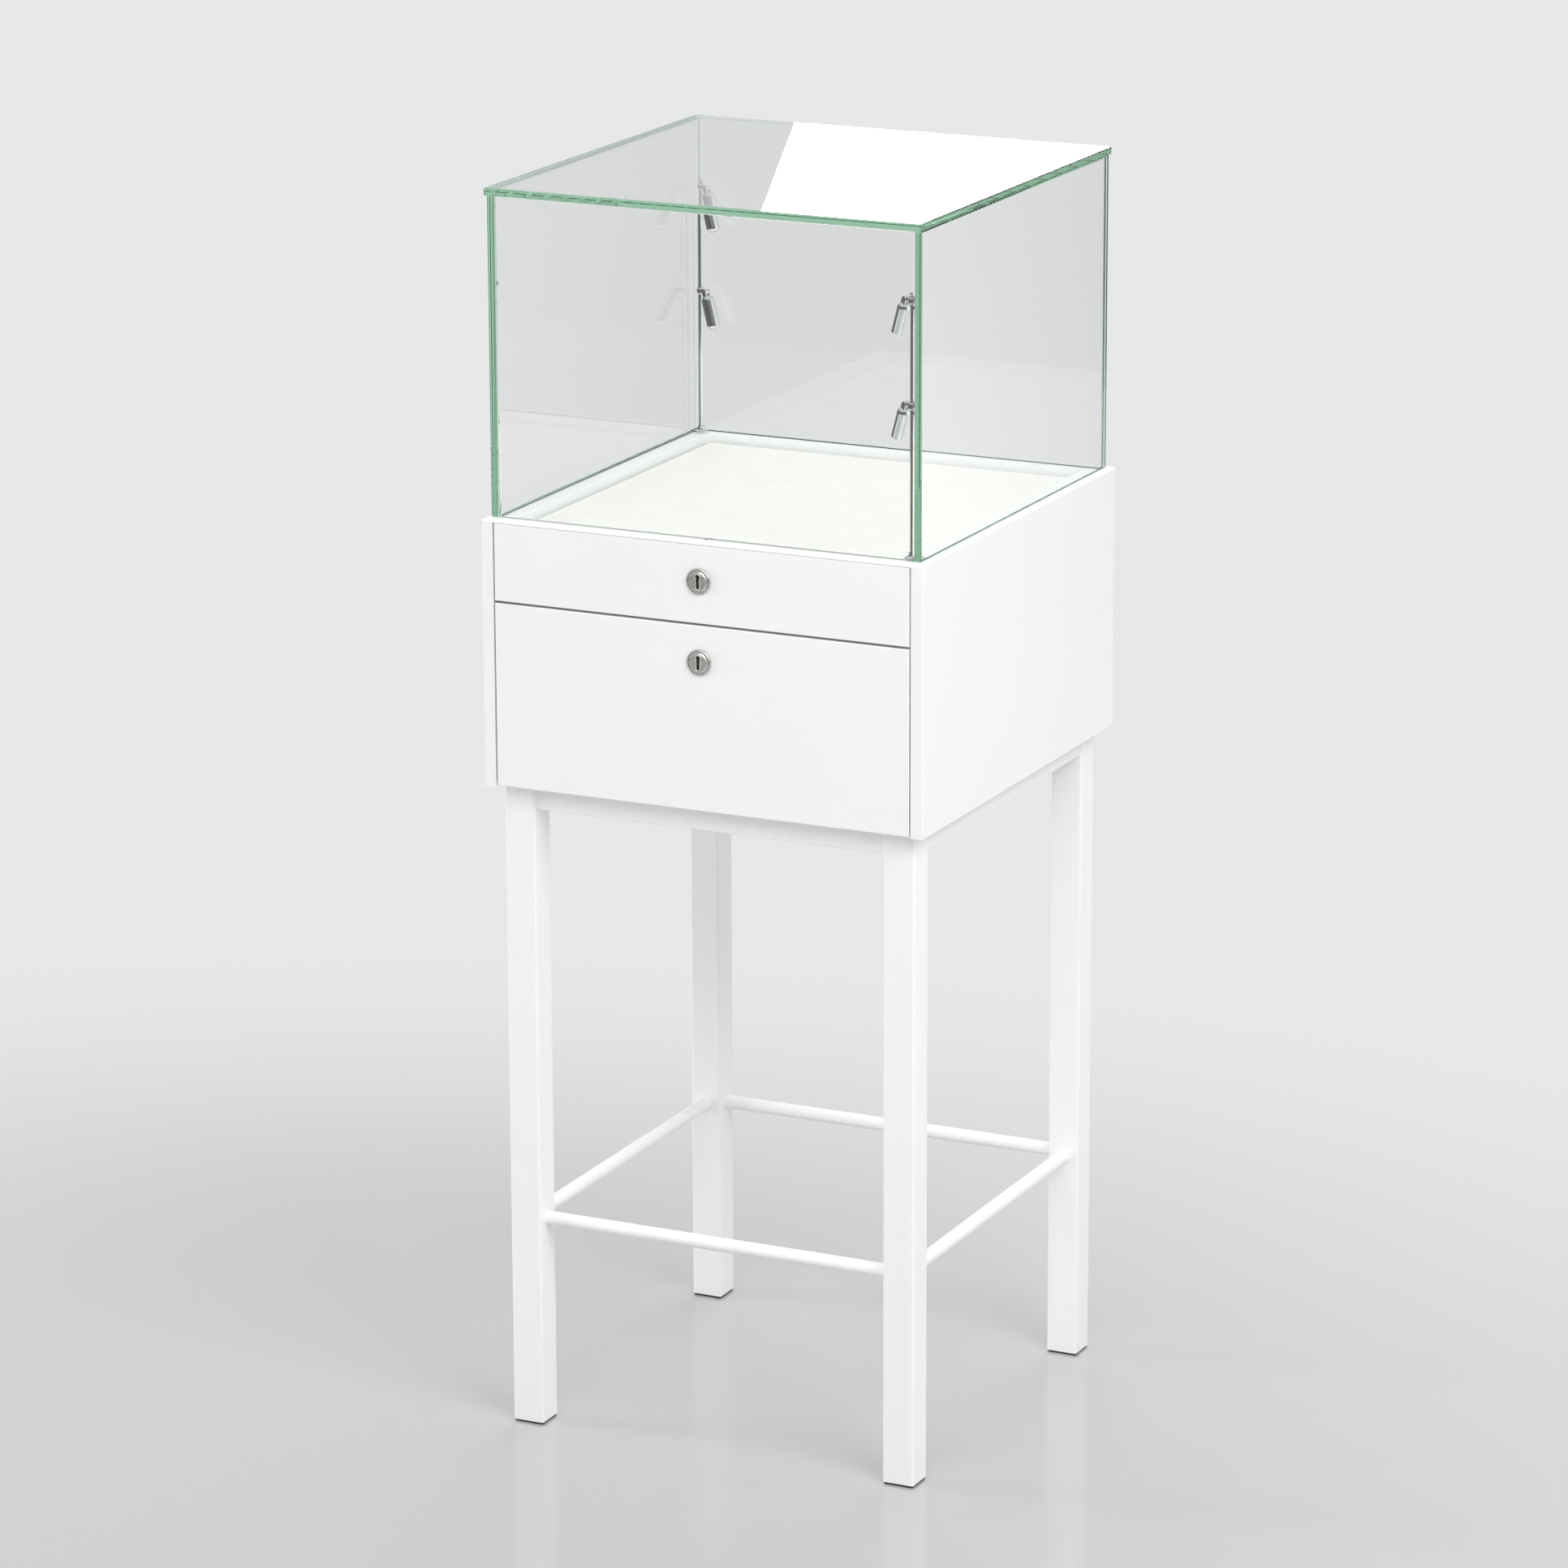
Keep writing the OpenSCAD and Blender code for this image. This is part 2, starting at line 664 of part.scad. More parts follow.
// Swivel collar: a ring on the pole with an arm that ends in an eye for the lamp's pin.
module lamp_collar(side, height) {
    color(bright_chrome) at_pole(side) translate([0, 0, height]) rotate(-head_turn)
        difference() {
            union() {
                intersection() {
                    cylinder(d = collar_d, h = collar_h, center = true);
                    sphere(d = collar_ball_d);
                }
                translate([pivot_reach / 2, 0, 0]) cube([pivot_reach, eye_t, arm_h], center = true);
                translate([pivot_reach, 0, 0])
                    rotate([90, 0, 0]) cylinder(d = eye_d, h = eye_t, center = true);
            }
            cylinder(d = pole_d + 2 * pivot_clearance, h = collar_h + 2 * slack, center = true);
            translate([pivot_reach, 0, 0])
                rotate([90, 0, 0])
                    cylinder(d = pin_d + 2 * pivot_clearance, h = eye_t + 2 * slack, center = true);
        }
}

// Half outline of a lamp head, hanging from y = 0: shoulder, barrel, rim and light window.
module head_outline() {
    r = head_d / 2;
    difference() {
        union() {
            translate([0, -head_length]) square([r - head_shoulder_r, head_length]);
            translate([0, -head_length + head_rim_r])
                square([r, head_length - head_rim_r - head_shoulder_r]);
            translate([0, -head_length]) square([r - head_rim_r, head_length / 2]);
            intersection() {
                union() {
                    translate([r - head_shoulder_r, -head_shoulder_r]) circle(head_shoulder_r);
                    translate([r - head_rim_r, -head_length + head_rim_r]) circle(head_rim_r);
                }
                translate([0, -head_length]) square([r, head_length]);
            }
        }
        translate([0, -head_length - slack]) square([window_d / 2, window_depth + slack]);
    }
}

// Lamp head with two ears and the pin that turns in the collar's eye.
module lamp_head(side, height) {
    ear_out = eye_t / 2 + ear_gap + ear_t;
    color(bright_chrome) at_pole(side) translate([0, 0, height]) rotate(-head_turn)
        translate([pivot_reach, 0, 0]) rotate([0, -head_tilt, 0]) {
            translate([0, 0, -head_drop]) rotate_extrude() head_outline();
            for (y = [-1, 1])
                translate([0, y * (ear_out - ear_t / 2), 0]) {
                    rotate([90, 0, 0]) cylinder(d = eye_d, h = ear_t, center = true);
                    translate([-eye_d / 2, -ear_t / 2, -head_drop - slack])
                        cube([eye_d, ear_t, head_drop + slack]);
                }
            rotate([90, 0, 0]) cylinder(d = pin_d, h = 2 * ear_out, center = true);
        }
}

// ---- Display tray ----

module tray_front() {
    color(white) placed() difference() {
        translate([0, -half_d, (tray_front_top_z + tray_front_low_z) / 2])
            eased_board(2 * front_half_w, upper_front_h, front_t, front_edge_r);
        front_bore(tray_lock_z, lock_barrel_d + 2 * hole_clearance);
    }
}

module tray_board() {
    color(white) placed()
        block([-side_out_x, front_back_y, tray_board_low_z],
              [side_out_x, box_back_y, tray_board_top_z]);
}

module tray_batten(x) {
    color(white) placed()
        block([x > 0 ? side_in_x : -side_out_x, front_back_y, batten_low_z],
              [x > 0 ? side_out_x : -side_in_x, box_back_y, tray_board_low_z]);
}

// Fabric-covered pad that fills the recess between the ledges.
module display_pad() {
    pad_front_y = front_back_y + soft_gap;
    pad_back_y = rail_in_y - pad_gap;
    color(pad_cloth) placed()
        translate([0, (pad_front_y + pad_back_y) / 2, pad_top_z])
            rotate([-90, 0, 0])
                eased_board(2 * (rail_in_x - pad_gap), pad_back_y - pad_front_y, pad_t, pad_edge_r);
}

// ---- Storage drawer ----

module drawer_front() {
    color(white) placed() difference() {
        translate([0, -half_d, (drawer_front_top_z + drawer_front_low_z) / 2])
            eased_board(2 * front_half_w, drawer_front_top_z - drawer_front_low_z, front_t,
                        front_edge_r);
        front_bore(drawer_lock_z, lock_barrel_d + 2 * hole_clearance);
    }
}

module drawer_side(x) {
    color(white) placed()
        block([x > 0 ? side_in_x : -side_out_x, front_back_y, drawer_low_z],
              [x > 0 ? side_out_x : -side_in_x, box_back_y, drawer_top_z]);
}

module drawer_back() {
    color(white) placed()
        block([-side_in_x, box_back_y - side_t, drawer_low_z], [side_in_x, box_back_y, drawer_top_z]);
}

module drawer_bottom() {
    color(white) placed()
        block([-side_in_x, front_back_y, drawer_bottom_z],
              [side_in_x, box_back_y - side_t, drawer_bottom_z + drawer_bottom_t]);
}

// ---- Runners ----

// Fixed channel with turned-in lips, its back on x = 0 and opening towards +X.
module fixed_channel() {
    half_h = runner_h / 2;
    translate([0, -half_h]) square([runner_sheet, runner_h]);
    for (y = [0, 1]) mirror([0, y]) {
        translate([0, half_h - runner_sheet]) square([channel_depth, runner_sheet]);
        translate([channel_depth - runner_sheet, half_h - runner_lip])
            square([runner_sheet, runner_lip]);
    }
}

// Sliding channel, its back on x = 0 and opening towards -X: its neck passes between the
// fixed channel's lips, and its wider part runs behind them.
module sliding_channel() {
    neck_h = runner_h - 2 * runner_lip - 2 * runner_gap;
    step_x = runner_space - channel_depth + runner_sheet + runner_gap;
    reach_x = runner_space - runner_sheet - runner_gap;
    translate([-runner_sheet, -neck_h / 2]) square([runner_sheet, neck_h]);
    for (y = [0, 1]) mirror([0, y]) {
        translate([-step_x - runner_sheet, neck_h / 2 - runner_sheet])
            square([step_x + runner_sheet, runner_sheet]);
        translate([-step_x - runner_sheet, neck_h / 2 - runner_sheet])
            square([runner_sheet, (slide_h - neck_h) / 2 + runner_sheet]);
        translate([-reach_x, slide_h / 2 - runner_sheet])
            square([reach_x - step_x, runner_sheet]);
    }
}

// Extrudes a runner's outline along Y from a front end, at a height on the left side.
module runner_at(x, y, z) {
    translate([x, y + runner_length, z])
        rotate([90, 0, 0]) linear_extrude(runner_length) children();
}

module cabinet_runners() {
    color(zinc) placed()
        for (side = [0, 1], z = [tray_runner_z, drawer_runner_z])
            mirror([side, 0, 0]) runner_at(-inner_x, runner_front_y, z) fixed_channel();
}

module sliding_runners(z) {
    color(zinc) placed()
        for (side = [0, 1])
            mirror([side, 0, 0]) runner_at(-side_out_x, slide_front_y, z) sliding_channel();
}

// ---- Locks ----

// Lock housing with a round rim, and the six-sided nut that clamps it from behind.
module lock_body(z) {
    face_r = lock_face_d / 2;
    recess_r = lock_plug_face_d / 2 + plug_groove;
    bore_r = lock_plug_d / 2 + plug_clearance;
    recess_floor = lock_proud - plug_face_t - seat_gap;
    color(nickel) at_lock(z) {
        rotate_extrude() {
            translate([bore_r, 0]) square([face_r - bore_r, recess_floor]);
            translate([recess_r, 0]) square([face_r - recess_r, rim_h - rim_r]);
            translate([recess_r, 0]) square([face_r - recess_r - rim_r, rim_h]);
            intersection() {
                translate([face_r - rim_r, rim_h - rim_r]) circle(rim_r);
                translate([recess_r, 0]) square([face_r, rim_h]);
            }
            translate([bore_r, -lock_barrel_length])
                square([lock_barrel_d / 2 - bore_r, lock_barrel_length]);
        }
        translate([0, 0, -front_t - nut_t]) linear_extrude(nut_t) difference() {
            circle(d = nut_across / cos(30), $fn = 6);
            circle(d = lock_barrel_d + 2 * hole_clearance);
        }
    }
}

// Keyway outline: a slot with a round head at its top.
module keyway() {
    translate([-keyway_w / 2, -keyway_h / 2]) square([keyway_w, keyway_h - keyway_head_d / 2]);
    translate([0, keyway_h / 2 - keyway_head_d / 2]) circle(d = keyway_head_d);
}

// Turning plug: sloped face, barrel, square spigot for the cam and the staked end that holds it.
module lock_plug(z) {
    color(nickel) at_lock(z) difference() {
        union() {
            translate([0, 0, lock_proud - plug_face_t])
                cylinder(d = lock_plug_face_d, h = plug_face_t - plug_slope_h);
            translate([0, 0, lock_proud - plug_slope_h])
                cylinder(d1 = lock_plug_face_d, d2 = lock_plug_face_d - 2 * plug_slope_w,
                         h = plug_slope_h);
            translate([0, 0, -cam_front])
                cylinder(d = lock_plug_d, h = cam_front + lock_proud - plug_face_t / 2);
            translate([-spigot_w / 2, -spigot_w / 2, -cam_front - cam_t])
                cube([spigot_w, spigot_w, cam_t + slack]);
            translate([0, 0, -cam_front - cam_t - stake_t]) cylinder(d = stake_d, h = stake_t);
        }
        translate([0, 0, lock_proud - keyway_depth]) linear_extrude(keyway_depth + slack) keyway();
    }
}

// Flat cam that points along +X or -X when unlocked.
module lock_cam(z, reach, side) {
    end_r = lock_plug_d / 2 + 1;
    tip = reach - cam_w / 2;
    color(zinc) at_lock(z) translate([0, 0, -cam_front - cam_t])
        linear_extrude(cam_t) difference() {
            union() {
                circle(end_r);
                translate([side > 0 ? 0 : -tip, -cam_w / 2]) square([tip, cam_w]);
                translate([side * tip, 0]) circle(d = cam_w);
            }
            square(spigot_w + 4 * hole_clearance, center = true);
        }
}

// ---- One line for each node ----

leg(-1, -1);  // leg_front_left
leg(1, -1);  // leg_front_right
leg(-1, 1);  // leg_back_left
leg(1, 1);  // leg_back_right
apron_along_x(-1);  // apron_front
apron_along_x(1);  // apron_back
apron_along_y(-1);  // apron_left
apron_along_y(1);  // apron_right
stretcher_along_x(-1);  // stretcher_front
stretcher_along_x(1);  // stretcher_back
stretcher_along_y(-1);  // stretcher_left
stretcher_along_y(1);  // stretcher_right
foot_glides();
corner_plates();
stand_bolts();
side_panel(-1);  // side_panel_left
side_panel(1);  // side_panel_right
back_panel();
bottom_panel();
divider_rail();
deck_side_rail(-1);  // deck_rail_left
deck_side_rail(1);  // deck_rail_right
deck_rail_back();
deck_lip();
glass_cross(-1);  // glass_front
glass_cross(1);  // glass_back
glass_side(-1);  // glass_left
glass_side(1);  // glass_right
glass_top();
light_pole(1);  // light_pole_back
light_pole(-1);  // light_pole_front
pole_bases();
lamp_collar(1, upper_pivot);  // lamp_collar_back_upper
lamp_collar(1, lower_pivot);  // lamp_collar_back_lower
lamp_collar(-1, upper_pivot);  // lamp_collar_front_upper
lamp_collar(-1, lower_pivot);  // lamp_collar_front_lower
lamp_head(1, upper_pivot);  // lamp_head_back_upper
lamp_head(1, lower_pivot);  // lamp_head_back_lower
lamp_head(-1, upper_pivot);  // lamp_head_front_upper
lamp_head(-1, lower_pivot);  // lamp_head_front_lower
tray_front();
tray_board();
tray_batten(-1);  // tray_batten_left
tray_batten(1);  // tray_batten_right
display_pad();
drawer_front();
drawer_side(-1);  // drawer_side_left
drawer_side(1);  // drawer_side_right
drawer_back();
drawer_bottom();
lock_body(tray_lock_z);  // tray_lock_body
lock_plug(tray_lock_z);  // tray_lock_plug
lock_cam(tray_lock_z, tray_cam_reach, 1);  // tray_lock_cam
lock_body(drawer_lock_z);  // drawer_lock_body
lock_plug(drawer_lock_z);  // drawer_lock_plug
lock_cam(drawer_lock_z, drawer_cam_reach, -1);  // drawer_lock_cam
cabinet_runners();
sliding_runners(tray_runner_z);  // tray_runners
sliding_runners(drawer_runner_z);  // drawer_runners
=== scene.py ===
"""Dresses a pedestal display case: finishes for its solids, the cloth pad, small trims and the studio."""

import json
import math

import bmesh
import bpy
import numpy as np
from bpy.props import FloatProperty, FloatVectorProperty, IntProperty, PointerProperty
from bpy.types import Operator, Panel, PropertyGroup
from mathutils import Matrix, Vector


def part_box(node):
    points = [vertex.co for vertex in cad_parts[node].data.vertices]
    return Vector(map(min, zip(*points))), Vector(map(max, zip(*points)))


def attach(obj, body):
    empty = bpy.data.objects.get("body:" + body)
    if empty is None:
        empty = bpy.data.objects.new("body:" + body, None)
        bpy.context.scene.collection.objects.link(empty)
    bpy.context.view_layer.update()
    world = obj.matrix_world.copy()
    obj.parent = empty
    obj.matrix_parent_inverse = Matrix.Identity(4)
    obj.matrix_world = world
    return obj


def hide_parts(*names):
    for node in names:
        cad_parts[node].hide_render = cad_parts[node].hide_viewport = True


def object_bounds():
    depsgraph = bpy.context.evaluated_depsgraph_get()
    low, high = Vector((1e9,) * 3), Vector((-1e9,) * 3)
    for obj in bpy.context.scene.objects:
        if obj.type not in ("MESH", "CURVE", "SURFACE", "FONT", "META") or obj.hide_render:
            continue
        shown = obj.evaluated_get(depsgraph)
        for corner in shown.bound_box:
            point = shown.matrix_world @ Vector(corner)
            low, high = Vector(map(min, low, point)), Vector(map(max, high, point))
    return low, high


bl_info = {
    "name": "Pedestal display case",
    "version": (1, 0, 0),
    "blender": (4, 5, 0),
    "location": "View3D > Sidebar > Display case",
    "description": "Finishes, soft pad, lamp lenses, lock trims and studio for a pedestal display case",
    "category": "Object",
}

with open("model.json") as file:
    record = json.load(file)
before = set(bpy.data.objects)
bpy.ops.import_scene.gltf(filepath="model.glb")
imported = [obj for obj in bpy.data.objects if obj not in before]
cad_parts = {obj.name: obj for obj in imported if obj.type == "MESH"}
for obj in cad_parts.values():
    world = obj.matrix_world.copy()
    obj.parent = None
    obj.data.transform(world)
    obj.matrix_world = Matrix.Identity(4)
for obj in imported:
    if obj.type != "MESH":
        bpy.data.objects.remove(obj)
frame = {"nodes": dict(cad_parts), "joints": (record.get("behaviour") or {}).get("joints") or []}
CAD_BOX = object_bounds()

MM = 0.001
TURN = 2 * math.pi
RIGHT_ANGLE = math.pi / 2

LACQUERED = (
    "side_panel_left", "side_panel_right", "back_panel", "bottom_panel", "divider_rail",
    "deck_rail_left", "deck_rail_right", "deck_rail_back", "deck_lip",
    "tray_front", "tray_board", "tray_batten_left", "tray_batten_right",
    "drawer_front", "drawer_side_left", "drawer_side_right", "drawer_back", "drawer_bottom",
)
COATED = (
    "leg_front_left", "leg_front_right", "leg_back_left", "leg_back_right",
    "apron_front", "apron_back", "apron_left", "apron_right",
    "stretcher_front", "stretcher_back", "stretcher_left", "stretcher_right", "corner_plates",
)
GLAZED = ("glass_front", "glass_back", "glass_left", "glass_right", "glass_top")
LAMPS = ("back_upper", "back_lower", "front_upper", "front_lower")
CHROMED = ("light_pole_back", "light_pole_front", "pole_bases") + tuple(
    f"lamp_{part}_{place}" for part in ("collar", "head") for place in LAMPS)
LOCKS = ("tray", "drawer")
ZINCED = ("stand_bolts", "cabinet_runners", "tray_runners", "drawer_runners") + tuple(
    f"{lock}_lock_cam" for lock in LOCKS)
MOULDED = ("foot_glides",)


# ---- Settings ----

def colour(name, words, value):
    """A colour setting, in linear light."""
    return FloatVectorProperty(name=name, description=words, default=value, size=3, subtype="COLOR",
                               min=0, max=1)


def length(name, words, value):
    """A length setting, in metres."""
    return FloatProperty(name=name, description=words, default=value, unit="LENGTH", precision=5, min=0)


def share(name, words, value):
    """A setting from 0 to 1."""
    return FloatProperty(name=name, description=words, default=value, subtype="FACTOR", min=0, max=1)


def rotation(name, words, degrees):
    """A turn setting, given in degrees."""
    return FloatProperty(name=name, description=words, default=math.radians(degrees), unit="ROTATION")


def wattage(name, words, watts):
    """A lamp's power setting, in watts."""
    return FloatProperty(name=name, description=words, default=watts, unit="POWER", min=0)


class CaseFinishes(PropertyGroup):
    """Colours and gloss of the case's surfaces."""
    lacquer: colour("Lacquer", "Colour of the boards", (0.9, 0.905, 0.915))
    lacquer_roughness: share("Lacquer roughness", "How dull the lacquer is", 0.33)
    coat: colour("Powder coat", "Colour of the steel tubes", (0.925, 0.928, 0.932))
    coat_roughness: share("Coat roughness", "How dull the powder coat is", 0.38)
    glass_tint: colour("Glass tint", "Light that long ways through the glass keep", (0.043, 0.614, 0.261))
    glass_density: FloatProperty(name="Glass density", default=1.8, min=0,
                                 description="How fast the glass takes its tint, per metre")
    chrome: colour("Chrome", "Colour of poles and lamps", (0.88, 0.885, 0.89))
    nickel: colour("Nickel", "Colour of the locks", (0.66, 0.65, 0.62))
    zinc: colour("Zinc", "Colour of bolts, runners and cams", (0.62, 0.64, 0.66))
    plastic: colour("Plastic", "Colour of the glides", (0.022, 0.022, 0.023))
    cloth: colour("Cloth", "Colour of the pad's cloth", (0.895, 0.88, 0.845))
    lens: colour("Lens", "Colour of the lamps' lenses", (0.86, 0.84, 0.74))
    # The bead's colours are near black: partly sealant, partly painted shade along the foot of the panes.
    bead: colour("Bead", "Colour of the bead at the foot of the panes", (0.06, 0.08, 0.07))
    bead_dark: colour("Dark bead", "Colour of the bead in its dark runs", (0.03, 0.045, 0.04))


class CasePad(PropertyGroup):
    """Size and softness of the display pad."""
    swell: length("Swell", "Furthest that the stuffing pushes the cloth out", 0.9 * MM)
    voxel: length("Voxel", "Grid of the cloth before it is simulated", 5 * MM)
    pressure: FloatProperty(name="Pressure", description="Air pressure in the pad", default=4.0)
    frames: IntProperty(name="Frames", description="Frames of the simulation", default=20, min=1)
    corner: length("Corner", "Radius of the pad's upright corners", 4 * MM)


class CaseTrims(PropertyGroup):
    """Sizes of the lamps' lenses, the keyholes' borders and the panes' beads."""
    lens_radius: length("Lens radius", "Radius of a lamp's lens", 2.6 * MM)
    lens_thickness: length("Lens thickness", "Thickness of a lens at its rim", 0.8 * MM)
    lens_dome: length("Lens dome", "How far a lens bulges", 0.45 * MM)
    border_width: length("Border width", "Width of the raised border round a keyhole", 1.1 * MM)
    border_height: length("Border height", "Height of the border above the lock's face", 0.28 * MM)
    border_gap: length("Border gap", "Distance from the keyhole to its border", 0.2 * MM)
    bead_width: length("Bead width", "Width of the bead at the foot of the panes", 0.4 * MM)
    bead_height: length("Bead height", "Height of the bead", 1.0 * MM)


class CaseStudio(PropertyGroup):
    """Camera, lamps and floor."""
    camera_place: FloatVectorProperty(name="Camera place", description="Where the camera stands", size=3,
                                      unit="LENGTH", default=(2.8504, -6.0267, 2.5236))
    azimuth: rotation("Azimuth", "Camera's way round the case", 25.49)
    elevation: rotation("Elevation", "Camera's angle above the level", 15.477)
    roll: rotation("Roll", "Camera's turn about its own axis", -0.178)
    lens: FloatProperty(name="Lens", description="Focal length in millimetres on a 36 mm sensor",
                        default=149.53)
    floor: colour("Floor", "Colour of the floor round the case", (0.49, 0.492, 0.495))
    room: colour("Room", "Colour of the air beyond the floor", (0.80, 0.802, 0.808))
    room_light: FloatProperty(name="Room light", description="Strength of the light from all round",
                              default=0.55, min=0)
    left_power: wattage("Left lamp", "Power of the lamp at the left", 60.0)
    right_power: wattage("Right lamp", "Power of the low lamp at the right", 10.0)
    front_power: wattage("Front lamp", "Power of the high lamp in front", 48.0)
    corner_power: wattage("Corner lamp", "Power of the high lamp at the front right", 80.0)
    back_power: wattage("Back lamp", "Power of the high lamp behind", 70.0)
    panel_power: wattage("Panel", "Power of the panel that the top pane mirrors", 150.0)


SETTINGS = {
    "case_finishes": CaseFinishes, "case_pad": CasePad, "case_trims": CaseTrims, "case_studio": CaseStudio}


# ---- Meshes ----

MERGE_DISTANCE = 0.001 * MM


def grid_faces(rows, columns, wrap_rows=False, wrap_columns=False):
    """Four-sided faces between neighbours of a grid of points numbered row by row. The grid closes on itself
    where that is asked for."""
    row, column = np.meshgrid(np.arange(rows - (not wrap_rows)), np.arange(columns - (not wrap_columns)),
                              indexing="ij")
    next_row, next_column = (row + 1) % rows, (column + 1) % columns
    corners = (row * columns + column, row * columns + next_column,
               next_row * columns + next_column, next_row * columns + column)
    return np.stack(corners, -1).reshape(-1, 4)


def new_mesh(name, points, faces):
    """A smooth object from arrays of points and four-sided faces, with doubles merged and faces turned
    outwards."""
    mesh = bpy.data.meshes.new(name)
    mesh.vertices.add(len(points))
    mesh.vertices.foreach_set("co", np.asarray(points, np.float32).ravel())
    mesh.loops.add(faces.size)
    mesh.loops.foreach_set("vertex_index", faces.astype(np.int32).ravel())
    mesh.polygons.add(len(faces))
    mesh.polygons.foreach_set("loop_start", np.arange(0, faces.size, 4, dtype=np.int32))
    mesh.polygons.foreach_set("use_smooth", np.ones(len(faces), bool))
    mesh.update(calc_edges=True)
    form = bmesh.new()
    form.from_mesh(mesh)
    bmesh.ops.remove_doubles(form, verts=form.verts, dist=MERGE_DISTANCE)
    bmesh.ops.recalc_face_normals(form, faces=form.faces)
    form.to_mesh(mesh)
    form.free()
    thing = bpy.data.objects.new(name, mesh)
    bpy.context.scene.collection.objects.link(thing)
    return thing


def piece(name, points, faces, material, body):
    """A finished piece that rides on a body and takes the finish it is given."""
    thing = new_mesh(name, points, faces)
    thing.data.materials.append(material)
    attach(thing, body)
    return thing


def revolved(radius, height, steps=48):
    """Points and faces of a profile (radius, height) turned once round the Z axis."""
    angle = np.linspace(0, TURN, steps, endpoint=False)
    points = np.stack([np.outer(radius, np.cos(angle)), np.outer(radius, np.sin(angle)),
                       np.outer(height, np.ones(steps))], -1)
    return points.reshape(-1, 3), grid_faces(len(radius), steps, wrap_columns=True)


def carried(path, across, upward, profile):
    """Points and faces of a closed profile carried round a closed path: each point of the path, plus the
    profile's first measure along the path's own sideways direction and its second along one upward
    direction."""
    side = np.asarray(profile)[:, 0]
    lift = np.asarray(profile)[:, 1]
    points = (path[:, None] + across[:, None] * side[None, :, None]
              + np.asarray(upward, float) * lift[None, :, None])
    return points.reshape(-1, 3), grid_faces(len(path), len(profile), True, True)


# ---- Node trees ----

# Sockets of the Mix node: its amount and its two values, when it mixes colours and when it mixes numbers.
COLOUR_SOCKETS = (0, 6, 7)
COLOUR_RESULT = 2
NUMBER_SOCKETS = (0, 2, 3)


def set_input(tree, socket, value):
    """Links a socket to another node's output, or gives it a value."""
    if isinstance(value, bpy.types.NodeSocket):
        tree.links.new(value, socket)
    elif socket.type == "RGBA" and len(value) == 3:
        socket.default_value = (*value, 1)
    else:
        socket.default_value = value


def add_node(tree, kind, inputs=None, **settings):
    """Adds a node to a tree, with its settings and inputs."""
    made = tree.nodes.new(kind)
    for key, value in settings.items():
        setattr(made, key, value)
    for key, value in (inputs or {}).items():
        set_input(tree, made.inputs[key], value)
    return made


def reckoned(tree, operation, first, second):
    """Two numbers put through one operation of the Math node."""
    return add_node(tree, "ShaderNodeMath", {0: first, 1: second}, operation=operation).outputs[0]


def ranged(tree, value, start, end, low, high, kind="LINEAR"):
    """A value's stretch from start to end spread over low to high."""
    inputs = {"Value": value, "From Min": start, "From Max": end, "To Min": low, "To Max": high}
    return add_node(tree, "ShaderNodeMapRange", inputs, interpolation_type=kind).outputs[0]


def blended(tree, amount, first, second):
    """Two numbers mixed by an amount from 0 to 1."""
    return add_node(tree, "ShaderNodeMix", dict(zip(NUMBER_SOCKETS, (amount, first, second)))).outputs[0]


class Recipe:
    """A material, written as short calls that add a node and join it up."""

    def __init__(self, name):
        self.material = bpy.data.materials.new(name)
        self.material.use_nodes = True
        self.tree = self.material.node_tree
        self.tree.nodes.clear()

    def node(self, kind, inputs=None, **settings):
        """Adds a node. An input is a value, or another node's output to link to."""
        return add_node(self.tree, kind, inputs, **settings)

    def coordinates(self, centre=(0, 0, 0), stretch=(1, 1, 1)):
        """The piece's own coordinates, moved so that centre is their origin, then stretched."""
        place = self.node("ShaderNodeTexCoord").outputs["Object"]
        shifted = self.node("ShaderNodeVectorMath", {0: place, 1: centre}, operation="SUBTRACT").outputs[0]
        return self.node("ShaderNodeMapping", {"Vector": shifted, "Scale": stretch}).outputs[0]

    def distance(self, where):
        """How far coordinates are from their origin."""
        return self.node("ShaderNodeVectorMath", {0: where}, operation="LENGTH").outputs["Value"]

    def noise(self, where, scale, detail=3.0, roughness=0.5):
        """A cloudy pattern from 0 to 1."""
        return self.node("ShaderNodeTexNoise", {"Vector": where, "Scale": scale, "Detail": detail,
                                                "Roughness": roughness}).outputs[0]

    def between(self, value, low, high, start=0.3, end=0.7):
        """A value's stretch from start to end spread over low to high."""
        return ranged(self.tree, value, start, end, low, high)

    def mixed(self, amount, first, second, blend="MIX"):
        """Two colours mixed by an amount from 0 to 1."""
        made = self.node("ShaderNodeMix", data_type="RGBA", blend_type=blend)
        for number, value in zip(COLOUR_SOCKETS, (amount, first, second)):
            set_input(self.tree, made.inputs[number], value)
        return made.outputs[COLOUR_RESULT]

    def bump(self, height, distance, strength=1.0, normal=None):
        """A bump of that height in metres."""
        inputs = {"Height": height, "Distance": distance, "Strength": strength}
        if normal is not None:
            inputs["Normal"] = normal
        return self.node("ShaderNodeBump", inputs).outputs[0]

    def surface(self, **inputs):
        """Ends the recipe with one Principled shader. An underscore in a name stands for a space."""
        named = {key.replace("_", " "): value for key, value in inputs.items()}
        shader = self.node("ShaderNodeBsdfPrincipled", named)
        self.node("ShaderNodeOutputMaterial", {"Surface": shader.outputs[0]})
        return self.material


# ---- The room as mirrors see it ----

# Strengths against the pale room's own.
BLACK_SCREEN = 0.15
WHITE_SCREEN = 1.5
UPPER_ROOM = 0.83
# Cosines of the turn away from the middle of each pale side, between which it fades in.
BACK_EDGE = (0.8, 0.88)
SIDE_EDGE = (0.7, 0.85)
